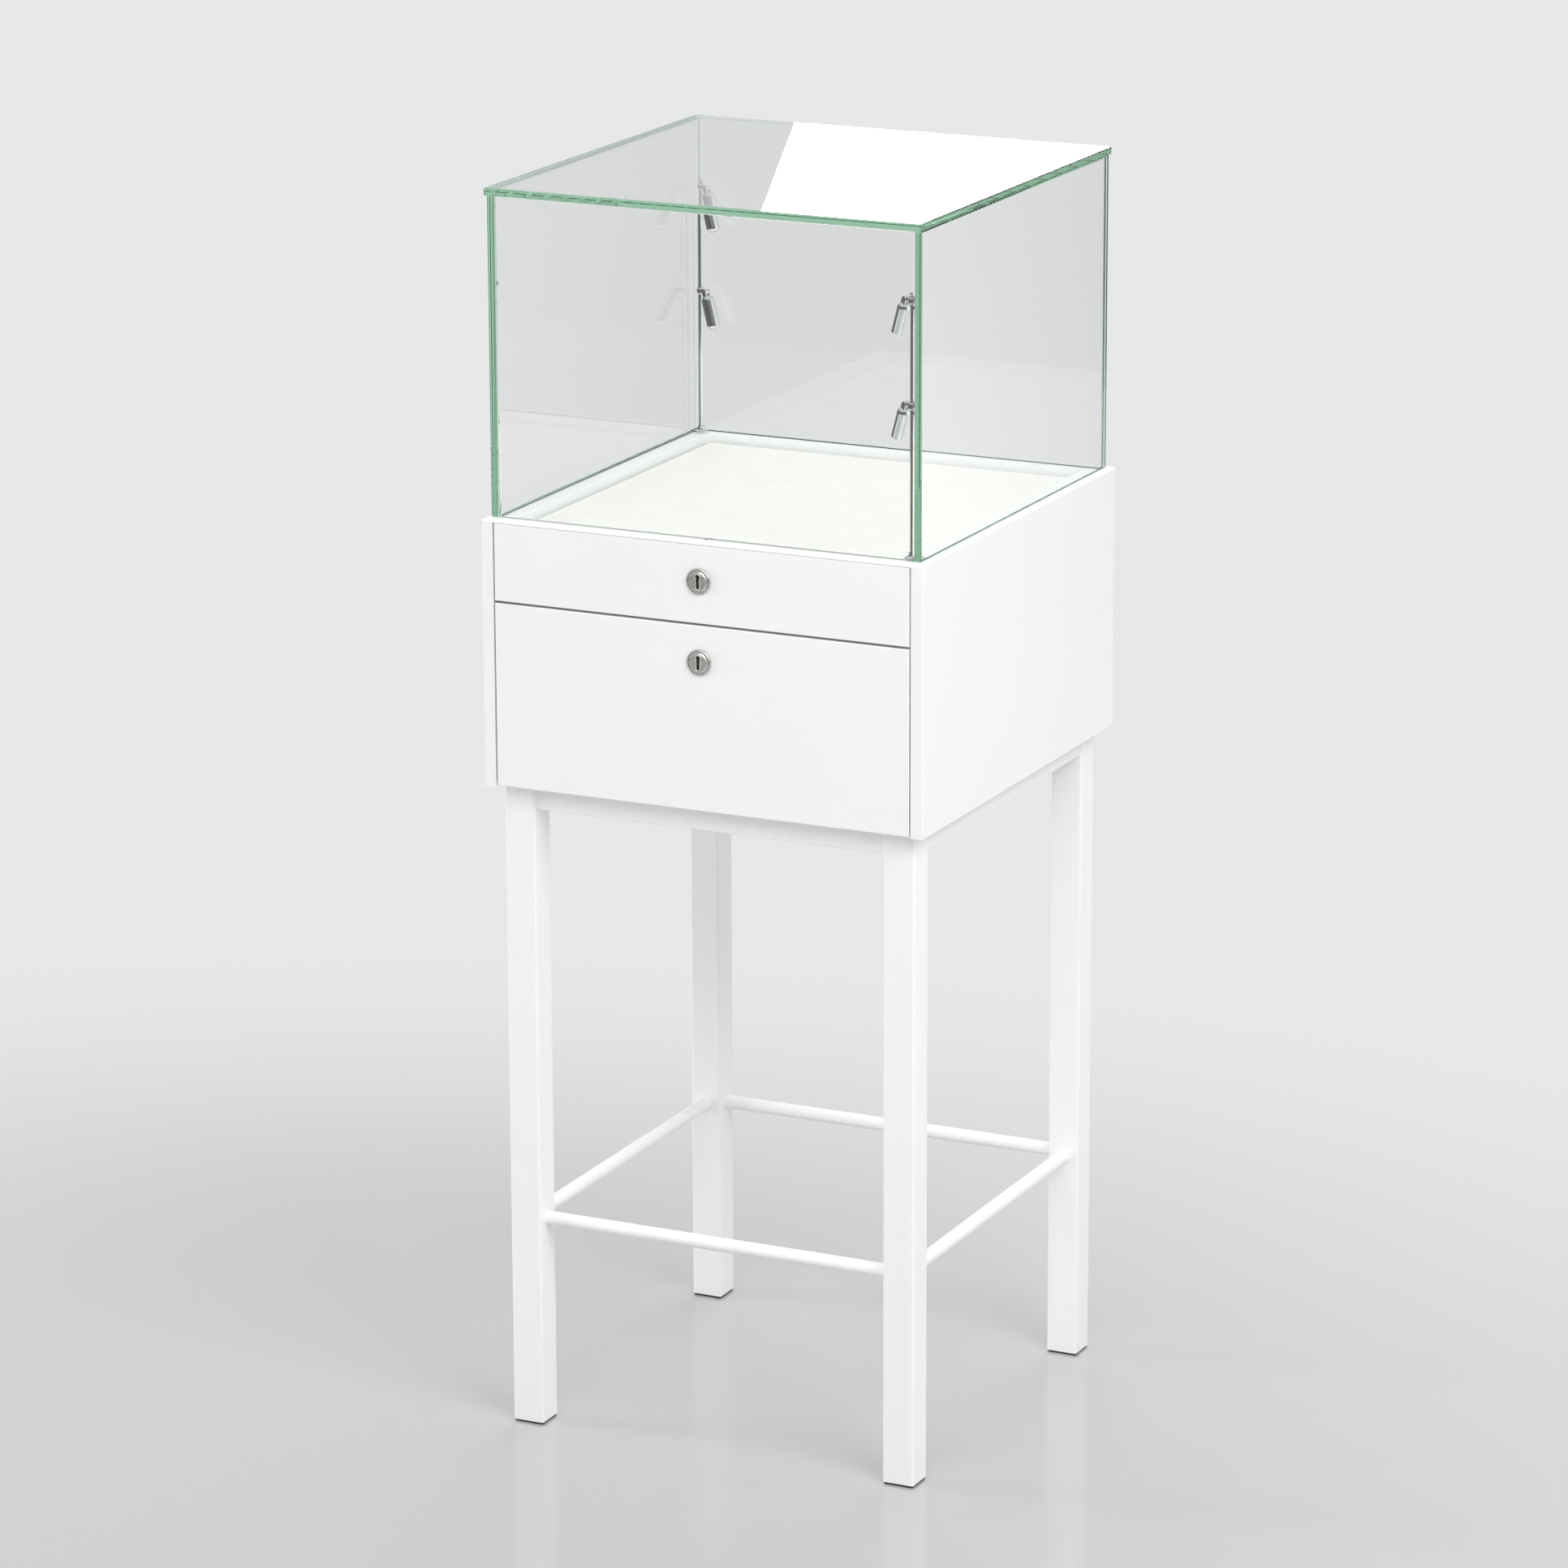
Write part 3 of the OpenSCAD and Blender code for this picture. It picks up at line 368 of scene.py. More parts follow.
# Rises of a ray, from 0 at the level to 1 straight up, between which the room passes into what is above.
UPPER_START = (0.08, 0.16)
SCREEN_TOP = (0.5, 0.65)
# A ray that has passed more faces of glass than this comes from under the hood.
HOOD_DEPTH = 2.5


def mirrored_room(tree, way, azimuth):
    """How bright mirrors see the room by a way's turn round the case: pale behind the case and at the
    camera's right, where a white screen stands, and black screens elsewhere."""
    level = add_node(tree, "ShaderNodeVectorMath", {0: way, 1: (1, 1, 0)}, operation="MULTIPLY").outputs[0]
    flat = add_node(tree, "ShaderNodeVectorMath", {0: level}, operation="NORMALIZE").outputs[0]
    behind = (-math.sin(azimuth), math.cos(azimuth), 0)
    right = (math.cos(azimuth), math.sin(azimuth), 0)
    pale = []
    for toward, edge, bright in ((behind, BACK_EDGE, 1.0), (right, SIDE_EDGE, WHITE_SCREEN)):
        facing = add_node(tree, "ShaderNodeVectorMath", {0: flat, 1: toward}, operation="DOT_PRODUCT")
        pale.append(ranged(tree, facing.outputs["Value"], *edge, BLACK_SCREEN, bright))
    return reckoned(tree, "MAXIMUM", *pale)


def mirror_ray(tree):
    """1 for a ray that some surface has mirrored, and 0 for one that is seen straight or through glass."""
    depth = add_node(tree, "ShaderNodeLightPath").outputs["Glossy Depth"]
    return reckoned(tree, "MINIMUM", depth, 1.0)


# ---- Finishes ----

CLOUD_SHADE = 0.985
CLOUD_GLOSS = (-0.03, 0.04)
TOOTH_FINENESS = 6
TOOTH_HEIGHT = 0.25
SHADOW_TINT = (0.98, 0.984, 0.981)
HANDLED_SHADES = (0.82, 1.12)
CRYSTAL_SHARE = 0.12
NAP_SHADES = (0.955, 1.02)
TUFT_SHADE = 0.9


def shade(tint, amount):
    """A colour made darker or lighter by a factor."""
    return tuple(min(1.0, part * amount) for part in tint)


def sprayed(name, tint, roughness, peel_size, peel_depth, coat):
    """Sprayed paint: a low orange-peel ripple, fine tooth, and faint clouds of colour and gloss."""
    mix = Recipe(name)
    where = mix.coordinates()
    clouds = mix.noise(where, scale=5.0, detail=2.0)
    peel = mix.noise(where, scale=1 / peel_size, detail=2.0, roughness=0.4)
    tooth = mix.noise(where, scale=TOOTH_FINENESS / peel_size, detail=1.0)
    ripple = mix.bump(peel, distance=peel_depth, strength=0.6)
    relief = mix.bump(tooth, distance=peel_depth * TOOTH_HEIGHT, strength=0.5, normal=ripple)
    return mix.surface(
        Base_Color=mix.mixed(mix.between(clouds, 0, 1), shade(tint, CLOUD_SHADE), tint),
        Roughness=mix.between(clouds, roughness + CLOUD_GLOSS[0], roughness + CLOUD_GLOSS[1]),
        Normal=relief, Coat_Weight=coat, Coat_Roughness=0.18)


def lacquer():
    """Smooth white lacquer on boards."""
    own = bpy.context.scene.case_finishes
    return sprayed("white_lacquer", tuple(own.lacquer), own.lacquer_roughness,
                   peel_size=3.2 * MM, peel_depth=0.006 * MM, coat=0.25)


def powder_coat():
    """White powder coat with a slightly stronger ripple."""
    own = bpy.context.scene.case_finishes
    return sprayed("white_powder_coat", tuple(own.coat), own.coat_roughness,
                   peel_size=1.8 * MM, peel_depth=0.012 * MM, coat=0.15)


def clear_glass():
    """Clear float glass: it bends and mirrors light, takes its green from its depth, and lets the light of
    lamps through unbent."""
    own = bpy.context.scene.case_finishes
    mix = Recipe("clear_glass")
    pane = mix.node("ShaderNodeBsdfPrincipled", {
        "Base Color": (1.0, 1.0, 1.0), "Roughness": 0.0, "IOR": 1.5, "Transmission Weight": 1.0})
    unbent = mix.node("ShaderNodeBsdfTransparent", {"Color": SHADOW_TINT})
    ray = mix.node("ShaderNodeLightPath").outputs
    lamp_light = reckoned(mix.tree, "MAXIMUM", ray["Is Shadow Ray"], ray["Is Diffuse Ray"])
    both = mix.node("ShaderNodeMixShader", {0: lamp_light, 1: pane.outputs[0], 2: unbent.outputs[0]})
    depth = mix.node("ShaderNodeVolumeAbsorption",
                     {"Color": tuple(own.glass_tint), "Density": own.glass_density})
    mix.node("ShaderNodeOutputMaterial", {"Surface": both.outputs[0], "Volume": depth.outputs[0]})
    return mix.material


def bright_chrome():
    """Polished chrome with a trace of haze."""
    mix = Recipe("bright_chrome")
    haze = mix.noise(mix.coordinates(), scale=160.0, detail=4.0)
    return mix.surface(
        Base_Color=tuple(bpy.context.scene.case_finishes.chrome), Metallic=1.0,
        Roughness=mix.between(haze, low=0.035, high=0.075),
        Normal=mix.bump(haze, distance=0.002 * MM, strength=0.4))


def satin_nickel(name, centre, painted_highlight=1.0):
    """Turned nickel: fine rings round the lock's axis, and dull and bright patches from handling. A factor
    above 1 makes a lighter copy of the nickel, which is a painted highlight.
    """
    tint = shade(bpy.context.scene.case_finishes.nickel, painted_highlight)
    mix = Recipe(name)
    where = mix.coordinates(centre, stretch=(1, 0, 1))
    rings = mix.node("ShaderNodeTexNoise", {"W": mix.distance(where), "Scale": 4200.0, "Detail": 2.0},
                     noise_dimensions="1D").outputs[0]
    patches = mix.noise(where, scale=420.0, detail=4.0, roughness=0.6)
    dull, bright = (shade(tint, amount) for amount in HANDLED_SHADES)
    return mix.surface(
        Base_Color=mix.mixed(mix.between(patches, 0, 1), dull, bright),
        Metallic=1.0, Roughness=mix.between(patches, low=0.24, high=0.4),
        Normal=mix.bump(rings, distance=0.01 * MM, strength=0.5))


def zinc_plate():
    """Bright zinc plate with its faint crystal patches."""
    tint = tuple(bpy.context.scene.case_finishes.zinc)
    mix = Recipe("zinc_plate")
    where = mix.coordinates()
    crystals = mix.node("ShaderNodeTexVoronoi", {"Vector": where, "Scale": 260.0}).outputs["Color"]
    grain = mix.noise(where, scale=900.0)
    return mix.surface(
        Base_Color=mix.mixed(CRYSTAL_SHARE, tint, crystals, "MULTIPLY"), Metallic=1.0,
        Roughness=mix.between(grain, low=0.26, high=0.38),
        Normal=mix.bump(grain, distance=0.006 * MM, strength=0.4))


def black_plastic():
    """Moulded black plastic with a fine spark-eroded grain."""
    mix = Recipe("black_plastic")
    grain = mix.noise(mix.coordinates(), scale=1400.0)
    return mix.surface(
        Base_Color=tuple(bpy.context.scene.case_finishes.plastic),
        Roughness=mix.between(grain, low=0.5, high=0.68),
        Normal=mix.bump(grain, distance=0.02 * MM, strength=0.5))


def napped_cloth():
    """Short-napped cloth: its fibres lie in patches, which show as soft mottling over a fine fleece."""
    tint = tuple(bpy.context.scene.case_finishes.cloth)
    mix = Recipe("napped_cloth")
    where = mix.coordinates()
    lay = mix.noise(where, scale=26.0, detail=4.0, roughness=0.62)
    tufts = mix.noise(where, scale=330.0, detail=4.0, roughness=0.7)
    fibres = mix.noise(where, scale=1500.0, roughness=0.7)
    flattened, raised = (shade(tint, amount) for amount in NAP_SHADES)
    cloudy = mix.mixed(mix.between(lay, 0, 1), flattened, raised)
    flecked = mix.mixed(mix.between(tufts, 0, 1, start=0.35, end=0.65), shade(tint, TUFT_SHADE), cloudy)
    pile = mix.bump(tufts, distance=0.22 * MM, strength=0.6)
    return mix.surface(
        Base_Color=flecked, Roughness=0.95, Sheen_Weight=0.35, Sheen_Roughness=0.45,
        Specular_IOR_Level=0.2, Normal=mix.bump(fibres, distance=0.12 * MM, strength=0.5, normal=pile))


def frosted_lens():
    """Frosted plastic with a fine grain, which lets a little light in."""
    mix = Recipe("frosted_lens")
    grain = mix.noise(mix.coordinates(), scale=1800.0)
    return mix.surface(
        Base_Color=tuple(bpy.context.scene.case_finishes.lens),
        Roughness=mix.between(grain, low=0.22, high=0.34),
        Normal=mix.bump(grain, distance=0.01 * MM, strength=0.4),
        Subsurface_Weight=0.2, Subsurface_Radius=(1 * MM, 1 * MM, 0.8 * MM))


def dark_bead():
    """Sealant that shows dark against the glass, in darker and lighter runs: its near-black colour is
    painted shade along the panes' foot.
    """
    own = bpy.context.scene.case_finishes
    mix = Recipe("dark_bead")
    runs = mix.noise(mix.coordinates(), scale=90.0)
    return mix.surface(Base_Color=mix.mixed(mix.between(runs, 0, 1), tuple(own.bead_dark), tuple(own.bead)),
                       Roughness=0.25)


def paint(nodes, material):
    """Gives CAD nodes a finish. Their shapes stay as they are."""
    for name in nodes:
        for place in frame["nodes"][name].material_slots:
            place.material = material


# ---- Places that the pieces share ----

def joint(name):
    """A joint of the record by its name."""
    return next(j for j in frame["joints"] if j["name"] == name)


# A lamp's measures, as in the part's source: its lean at rest, the way from its pivot to its head, the
# head's length, the depth of the window in the head's end, and the lens's distance from that window's floor.
LAMP_TILT = math.radians(-joint("tilt_back_upper")["range_deg"][0])
HEAD_START = 4.5 * MM
HEAD_LENGTH = 37 * MM
WINDOW_DEPTH = 1.5 * MM
LENS_GAP = 0.05 * MM


def lamp_place(place):
    """Matrix from a lamp's own axes, with its pivot at 0 and the lamp hanging along -Z, to its place at
    rest."""
    swivel = joint("swivel_" + place)
    tilt = joint("tilt_" + place)
    pivot = Vector(tilt["pos_m"])
    reach = pivot - Vector(swivel["pos_m"])
    out = Vector((reach.x, reach.y, 0)).normalized()
    pin = Vector((0, 0, 1)).cross(out)
    rest = Matrix((out, pin, Vector((0, 0, 1)))).transposed().to_4x4()
    return Matrix.Translation(pivot) @ rest @ Matrix.Rotation(-LAMP_TILT, 4, "Y")


def moved(points, matrix):
    """Points, as an array, carried by a matrix."""
    m = np.array(matrix)
    return points @ m[:3, :3].T + m[:3, 3]


# ---- Boards, stand and metals ----

class CASE_OT_boards(Operator):
    """Lacquers the boards of the cabinet, the tray and the drawer"""
    bl_idname = "case.boards"
    bl_label = "Lacquer the boards"
    bl_options = {"REGISTER", "UNDO"}

    def execute(self, context):
        paint(LACQUERED, lacquer())
        return {"FINISHED"}


class CASE_OT_stand(Operator):
    """Powder-coats the stand and gives its glides their plastic"""
    bl_idname = "case.stand"
    bl_label = "Coat the stand"
    bl_options = {"REGISTER", "UNDO"}

    def execute(self, context):
        paint(COATED, powder_coat())
        paint(MOULDED, black_plastic())
        return {"FINISHED"}


class CASE_OT_metals(Operator):
    """Plates the poles, lamps, locks, cams, runners and bolts"""
    bl_idname = "case.metals"
    bl_label = "Plate the metal parts"
    bl_options = {"REGISTER", "UNDO"}

    def execute(self, context):
        paint(CHROMED, bright_chrome())
        paint(ZINCED, zinc_plate())
        for lock in LOCKS:
            centre = joint(lock + "_lock_turn")["pos_m"]
            paint((lock + "_lock_body", lock + "_lock_plug"), satin_nickel(lock + "_lock_nickel", centre))
        return {"FINISHED"}


# ---- Hood ----

BEAD_STEPS = 6


class CASE_OT_hood(Operator):
    """Glazes the hood and runs the bead round the foot of its panes, its dark colour painted shade"""
    bl_idname = "case.hood"
    bl_label = "Glaze the hood"
    bl_options = {"REGISTER", "UNDO"}

    def execute(self, context):
        paint(GLAZED, clear_glass())
        points, faces = foot_bead(context.scene.case_trims)
        piece("pane_foot_bead", points, faces, dark_bead(), "case")
        return {"FINISHED"}


def foot_bead(own):
    """Points and faces of the bead: a quarter of an ellipse, with its corner against the pane, carried round
    the rectangle where the panes' inner faces meet the ledges."""
    left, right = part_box("glass_left")[1].x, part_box("glass_right")[0].x
    front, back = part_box("glass_front")[1].y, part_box("glass_back")[0].y
    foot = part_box("deck_rail_back")[1].z
    x, y = np.array([left, right, right, left]), np.array([front, front, back, back])
    path = np.stack([x, y, np.full(4, foot)], -1)
    across = np.stack([np.sign(-x), np.sign((front + back) / 2 - y), np.zeros(4)], -1)
    angle = np.linspace(0, RIGHT_ANGLE, BEAD_STEPS)
    round_edge = np.stack([own.bead_width * np.cos(angle), own.bead_height * np.sin(angle)], -1)
    return carried(path, across, (0, 0, 1), np.concatenate([[[0, 0]], round_edge]))


# ---- Display pad ----

CLOTH_QUALITY = 5


class CASE_OT_pad(Operator):
    """Makes the cloth-covered pad, blown up a little in its cover"""
    bl_idname = "case.pad"
    bl_label = "Make the display pad"
    bl_options = {"REGISTER", "UNDO"}

    def execute(self, context):
        own = context.scene.case_pad
        low, high = (np.array(c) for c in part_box("display_pad"))
        inset = np.array([own.swell, own.swell, own.swell / 2])
        pad = new_mesh("cloth_display_pad", *rounded_slab(low + inset, high - inset, own.corner))
        blow_up(pad, own, low, high)
        smooth = pad.modifiers.new("smoothed", "SUBSURF")
        smooth.levels = smooth.render_levels = 1
        pad.data.materials.append(napped_cloth())
        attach(pad, "tray")
        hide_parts("display_pad")
        return {"FINISHED"}


def rounded_slab(low, high, corner, rows=9, quarter=8):
    """Points and faces of a closed slab. Its outline in plan is a rectangle with corners of one radius, and
    each layer from underside to top is that outline drawn in by a half circle over the slab's thickness.
    Strips from each point of the outline to the point opposite it close the top and the underside."""
    half, middle = (high - low) / 2, (high + low) / 2
    bulge = half[2]
    lean = np.linspace(-RIGHT_ANGLE, RIGHT_ANGLE, rows)
    step = np.linspace(0, RIGHT_ANGLE, quarter)
    angle = np.concatenate([step + (k - 1) * RIGHT_ANGLE for k in range(4)])
    side_x = np.repeat([1, 1, -1, -1], quarter)
    side_y = np.repeat([-1, 1, 1, -1], quarter)
    reach = corner - (1 - np.cos(lean))[:, None] * bulge
    x = side_x * (half[0] - corner) + np.cos(angle) * reach
    y = side_y * (half[1] - corner) + np.sin(angle) * reach
    z = np.broadcast_to(np.sin(lean)[:, None] * bulge, x.shape)
    points = (np.stack([x, y, z], -1) + middle).reshape(-1, 3)
    around = 4 * quarter
    near = np.arange(around // 2 - 1)
    strip = np.stack([near, near + 1, around - 2 - near, around - 1 - near], -1)
    caps = np.concatenate([strip, strip + (rows - 1) * around])
    return points, np.concatenate([grid_faces(rows, around, wrap_columns=True), caps])


def blow_up(pad, own, low, high):
    """Remeshes the pad, simulates its cover as cloth under air pressure, and keeps each point's move, eased
    to a limit: the move times the limit, over the move's length plus the limit. The pad stays in its box, so
    its underside lies flat on its board."""
    scene = bpy.context.scene
    bpy.context.view_layer.objects.active = pad
    grid = pad.modifiers.new("grid", "REMESH")
    grid.mode, grid.voxel_size = "VOXEL", own.voxel
    replace_with_result(pad)
    start = vertex_places(pad)
    cover = pad.modifiers.new("cover", "CLOTH")
    cloth = cover.settings
    cloth.quality = CLOTH_QUALITY
    cloth.use_pressure = True
    cloth.uniform_pressure_force = own.pressure
    cloth.effector_weights.gravity = 0
    cover.point_cache.frame_start, cover.point_cache.frame_end = 1, own.frames
    for number in range(1, own.frames + 1):
        scene.frame_set(number)
    end = vertex_places(pad.evaluated_get(bpy.context.evaluated_depsgraph_get()))
    pad.modifiers.remove(cover)
    scene.frame_set(1)
    move = end - start
    move -= move.mean(0)
    far = np.linalg.norm(move, axis=1, keepdims=True)
    kept = np.clip(start + move * own.swell / (far + own.swell), low, high)
    pad.data.vertices.foreach_set("co", kept.astype(np.float32).ravel())
    pad.data.polygons.foreach_set("use_smooth", np.ones(len(pad.data.polygons), bool))
    pad.data.update()


def vertex_places(thing):
    """The places of an object's points, as an array."""
    places = np.empty(len(thing.data.vertices) * 3, np.float32)
    thing.data.vertices.foreach_get("co", places)
    return places.reshape(-1, 3).astype(float)


def replace_with_result(thing):
    """Puts what the modifiers make of a mesh in its place, and takes the modifiers off."""
    seen = thing.evaluated_get(bpy.context.evaluated_depsgraph_get())
    made = bpy.data.meshes.new_from_object(seen)
    thing.modifiers.clear()
    thing.data = made


# ---- Lenses ----

DOME_STEPS = 7


class CASE_OT_lenses(Operator):
    """Sets a frosted lens in each lamp head"""
    bl_idname = "case.lenses"
    bl_label = "Set the lamp lenses"
    bl_options = {"REGISTER", "UNDO"}

    def execute(self, context):
        frosted = frosted_lens()
        points, faces = revolved(*lens_profile(context.scene.case_trims))
        for place in LAMPS:
            piece("lamp_lens_" + place, moved(points, lamp_place(place)), faces, frosted, "head_" + place)
        return {"FINISHED"}


def lens_profile(own):
    """Radii and heights of a lens on its lamp's axis: out over its flat back, down its rim, and in over a
    dome whose bulge falls off with the square of the distance from the axis."""
    inward = np.linspace(0, 1, DOME_STEPS)[1:]
    back = -(HEAD_START + HEAD_LENGTH) + WINDOW_DEPTH - LENS_GAP
    radius = np.concatenate([[0], np.full(2, own.lens_radius), own.lens_radius * (1 - inward)])
    dome = -own.lens_thickness - own.lens_dome * (1 - (1 - inward) ** 2)
    return radius, back + np.concatenate([[0, 0, -own.lens_thickness], dome])


# ---- Keyhole borders ----

# A keyhole's measures, as in the part's source: half its height, and the radii of its head and its slot.
KEYHOLE_HALF = 7.5 * MM
HEAD_RADIUS = 2.4 * MM
SLOT_RADIUS = 1.6 * MM
HEAD_STEPS = 40
SLOT_STEPS = 20
BORDER_STEPS = 12
# How much lighter the keyhole borders' nickel is than the lock's: a painted highlight on the raised border.
BORDER_PAINTED_HIGHLIGHT = 1.5


class CASE_OT_keyholes(Operator):
    """Puts the raised border round each keyhole, in a lighter nickel that paints its highlight"""
    bl_idname = "case.keyholes"
    bl_label = "Border the keyholes"
    bl_options = {"REGISTER", "UNDO"}

    def execute(self, context):
        for lock in LOCKS:
            centre = tuple(joint(lock + "_lock_turn")["pos_m"])
            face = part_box(lock + "_lock_plug")[0].y
            points, faces = keyhole_border(context.scene.case_trims, (centre[0], face, centre[2]))
            # A lighter copy of the lock's nickel: painted highlight on the raised border.
            nickel = satin_nickel(lock + "_border_nickel", centre, BORDER_PAINTED_HIGHLIGHT)
            piece(lock + "_keyhole_border", points, faces, nickel, lock + "_lock")
        return {"FINISHED"}


def keyhole_border(own, middle):
    """Points and faces of a border: an ellipse carried round the keyhole's outline, a gap away from it."""
    outline, across = keyhole_outline(own.border_gap + own.border_width / 2)
    turn = np.linspace(0, TURN, BORDER_STEPS, endpoint=False)
    profile = np.stack([own.border_width / 2 * np.cos(turn), own.border_height * np.sin(turn)], -1)
    return carried(outline + np.array(middle), across, (0, -1, 0), profile)


def keyhole_outline(away):
    """Points at a distance outside a keyhole, and their outward directions: an arc round its head down to
    where the arc meets the slot's offset side, and an arc round the slot's foot. The sides are the straight
    steps between the two arcs."""
    head, slot = HEAD_RADIUS + away, SLOT_RADIUS + away
    meet = math.acos(slot / head)
    angle = np.concatenate([np.linspace(-meet, math.pi + meet, HEAD_STEPS),
                            np.linspace(math.pi, TURN, SLOT_STEPS)])
    out = np.stack([np.cos(angle), np.zeros(len(angle)), np.sin(angle)], -1)
    steps = (HEAD_STEPS, SLOT_STEPS)
    reach = np.repeat([head, slot], steps)[:, None]
    height = np.repeat([KEYHOLE_HALF - HEAD_RADIUS, SLOT_RADIUS - KEYHOLE_HALF], steps)
    return np.outer(height, (0, 0, 1)) + out * reach, out


# ---- Studio ----

# Each lamp's name, place, target, width and height, its power's setting, and whether surfaces mirror it.
LAMP_STANDS = (
    ("lamp_left", (-3.6, -0.9, 1.0), (0, 0, 0.6), (1.0, 1.8), "left_power", False),
    ("lamp_right", (3.2, -0.3, 0.45), (0, 0, 0.35), (0.9, 0.8), "right_power", False),
    ("lamp_front", (0.6, -3.0, 3.6), (0, 0, 0.8), (2.5, 2.5), "front_power", True),
    ("lamp_corner", (2.6, -1.6, 3.4), (0, 0, 0.8), (2.0, 2.0), "corner_power", True),
    ("lamp_back", (-0.5, 3.0, 3.5), (0, 0, 0.8), (3.0, 3.0), "back_power", False),
)
# Enough bounces for light to find its way out of the panes' edges, which otherwise turn black.
BOUNCES = {
    "max_bounces": 90, "transmission_bounces": 60, "glossy_bounces": 80, "transparent_max_bounces": 32}

FLOOR_RADIUS = 60.0
FLOOR_RINGS = 24
FLOOR_STEPS = 96
# Distances from the case between which mirrors see the floor pass into the room.
SWEEP_EDGE = (3.3, 4.0)
# The point from which the floor fades into the pale room, and the distances where that starts and ends.
FADE_CENTRE = (-0.2, -0.9, 0)
FLOOR_FADE = (0.9, 2.4)

ROOM_TINT = (0.99, 0.995, 1.0)

# The mirrored panel's way from the top pane, its size, its shift to the right, and its turn.
PANEL_DISTANCE = 6.0
PANEL_SIZE = (2.4, 1.5)
PANEL_SHIFT = 0.038
PANEL_LEAN = math.radians(-21)

SENSOR_WIDTH = 36.0
CLIP_END = 200.0


class CASE_OT_studio(Operator):
    """Builds the floor, the lamps, the room's light and the camera"""
    bl_idname = "case.studio"
    bl_label = "Build the studio"
    bl_options = {"REGISTER", "UNDO"}

    def execute(self, context):
        own = context.scene.case_studio
        floor_disc(own)
        room_light(own)
        for name, place, target, size, power, mirrored in LAMP_STANDS:
            area_lamp(name, place, target, size, getattr(own, power), mirrored)
        mirror_panel(own)
        camera(own)
        context.scene.view_settings.view_transform = "Standard"
        paths = context.scene.cycles
        for kind, number in BOUNCES.items():
            setattr(paths, kind, number)
        paths.caustics_reflective = paths.caustics_refractive = False
        return {"FINISHED"}


def floor_disc(own):
    """A round floor of rings, each ring's radius growing with the square of its number. It is slightly
    glossy round the case, and further off it passes into the pale room. Mirrors see it, beyond SWEEP_EDGE,
    with the room's black and white screens painted into its colour."""
    rings = np.linspace(0, 1, FLOOR_RINGS) ** 2 * FLOOR_RADIUS
    points, faces = revolved(rings, np.zeros(FLOOR_RINGS), FLOOR_STEPS)
    disc = new_mesh("studio_floor", points, faces)
    if disc.data.polygons[0].normal.z < 0:
        disc.data.flip_normals()
    mix = Recipe("studio_floor")
    where = mix.coordinates()
    # Painted reflection: beyond SWEEP_EDGE, mirrors see the floor darkened and lightened by the room's
    # screens.
    beyond = blended(mix.tree, mix.between(mix.distance(where), 0, 1, *SWEEP_EDGE), 1.0,
                     mirrored_room(mix.tree, where, own.azimuth))
    seen = blended(mix.tree, mirror_ray(mix.tree), 1.0, beyond)
    tint = mix.mixed(1.0, tuple(own.floor), seen, "MULTIPLY")
    near = mix.node("ShaderNodeBsdfPrincipled", {"Base Color": tint, "Roughness": 0.11, "IOR": 2.4})
    glow = mix.node("ShaderNodeEmission", {"Color": tuple(own.room), "Strength": seen})
    lighting = mix.node("ShaderNodeLightPath").outputs["Is Diffuse Ray"]
    away = mix.distance(mix.coordinates(FADE_CENTRE))
    fade = blended(mix.tree, lighting, ranged(mix.tree, away, *FLOOR_FADE, 0, 1, "SMOOTHSTEP"), 0.0)
    both = mix.node("ShaderNodeMixShader", {0: fade, 1: near.outputs[0], 2: glow.outputs[0]})
    mix.node("ShaderNodeOutputMaterial", {"Surface": both.outputs[0]})
    disc.data.materials.append(mix.material)


def room_light(own):
    """Light from all round, and the pale room that camera, glass and metal show. Metal under the hood, whose
    light has passed more panes, shows it with dark screens."""
    world = bpy.data.worlds.new("studio_room")
    bpy.context.scene.world = world
    world.use_nodes = True
    tree = world.node_tree
    tree.nodes.clear()
    ray = add_node(tree, "ShaderNodeLightPath").outputs
    through = reckoned(tree, "MAXIMUM", ray["Is Camera Ray"], ray["Is Transmission Ray"])
    seen = reckoned(tree, "MAXIMUM", through, ray["Is Glossy Ray"])
    way = add_node(tree, "ShaderNodeTexCoord").outputs["Generated"]
    rise = add_node(tree, "ShaderNodeSeparateXYZ", {0: way}).outputs["Z"]
    inside = reckoned(tree, "GREATER_THAN", ray["Transmission Depth"], HOOD_DEPTH)
    height = blended(tree, inside, 0.0, ranged(tree, rise, *SCREEN_TOP, 1, 0))
    screens = blended(tree, height, 1.0, mirrored_room(tree, way, own.azimuth))
    mirrored = reckoned(tree, "MULTIPLY", screens, ranged(tree, rise, *UPPER_START, 1, UPPER_ROOM))
    dim = blended(tree, mirror_ray(tree), 1.0, mirrored)
    glow = add_node(tree, "ShaderNodeBackground", {"Color": ROOM_TINT, "Strength": own.room_light})
    pale = add_node(tree, "ShaderNodeBackground", {"Color": tuple(own.room), "Strength": dim})
    both = add_node(tree, "ShaderNodeMixShader", {0: seen, 1: glow.outputs[0], 2: pale.outputs[0]})
    add_node(tree, "ShaderNodeOutputWorld", {"Surface": both.outputs[0]})


def area_lamp(name, place, target, size, power, mirrored=True):
    """A soft box that faces a point. The camera doesn't see it, and surfaces mirror it only where that is
    asked for."""
    data = bpy.data.lights.new(name, "AREA")
    data.shape, data.size, data.size_y, data.energy = "RECTANGLE", size[0], size[1], power
    lamp = bpy.data.objects.new(name, data)
    bpy.context.scene.collection.objects.link(lamp)
    way = Vector(target) - Vector(place)
    lamp.matrix_world = Matrix.Translation(place) @ way.to_track_quat("-Z", "Y").to_matrix().to_4x4()
    lamp.visible_camera = lamp.visible_transmission = False
    lamp.visible_glossy = mirrored
    return lamp


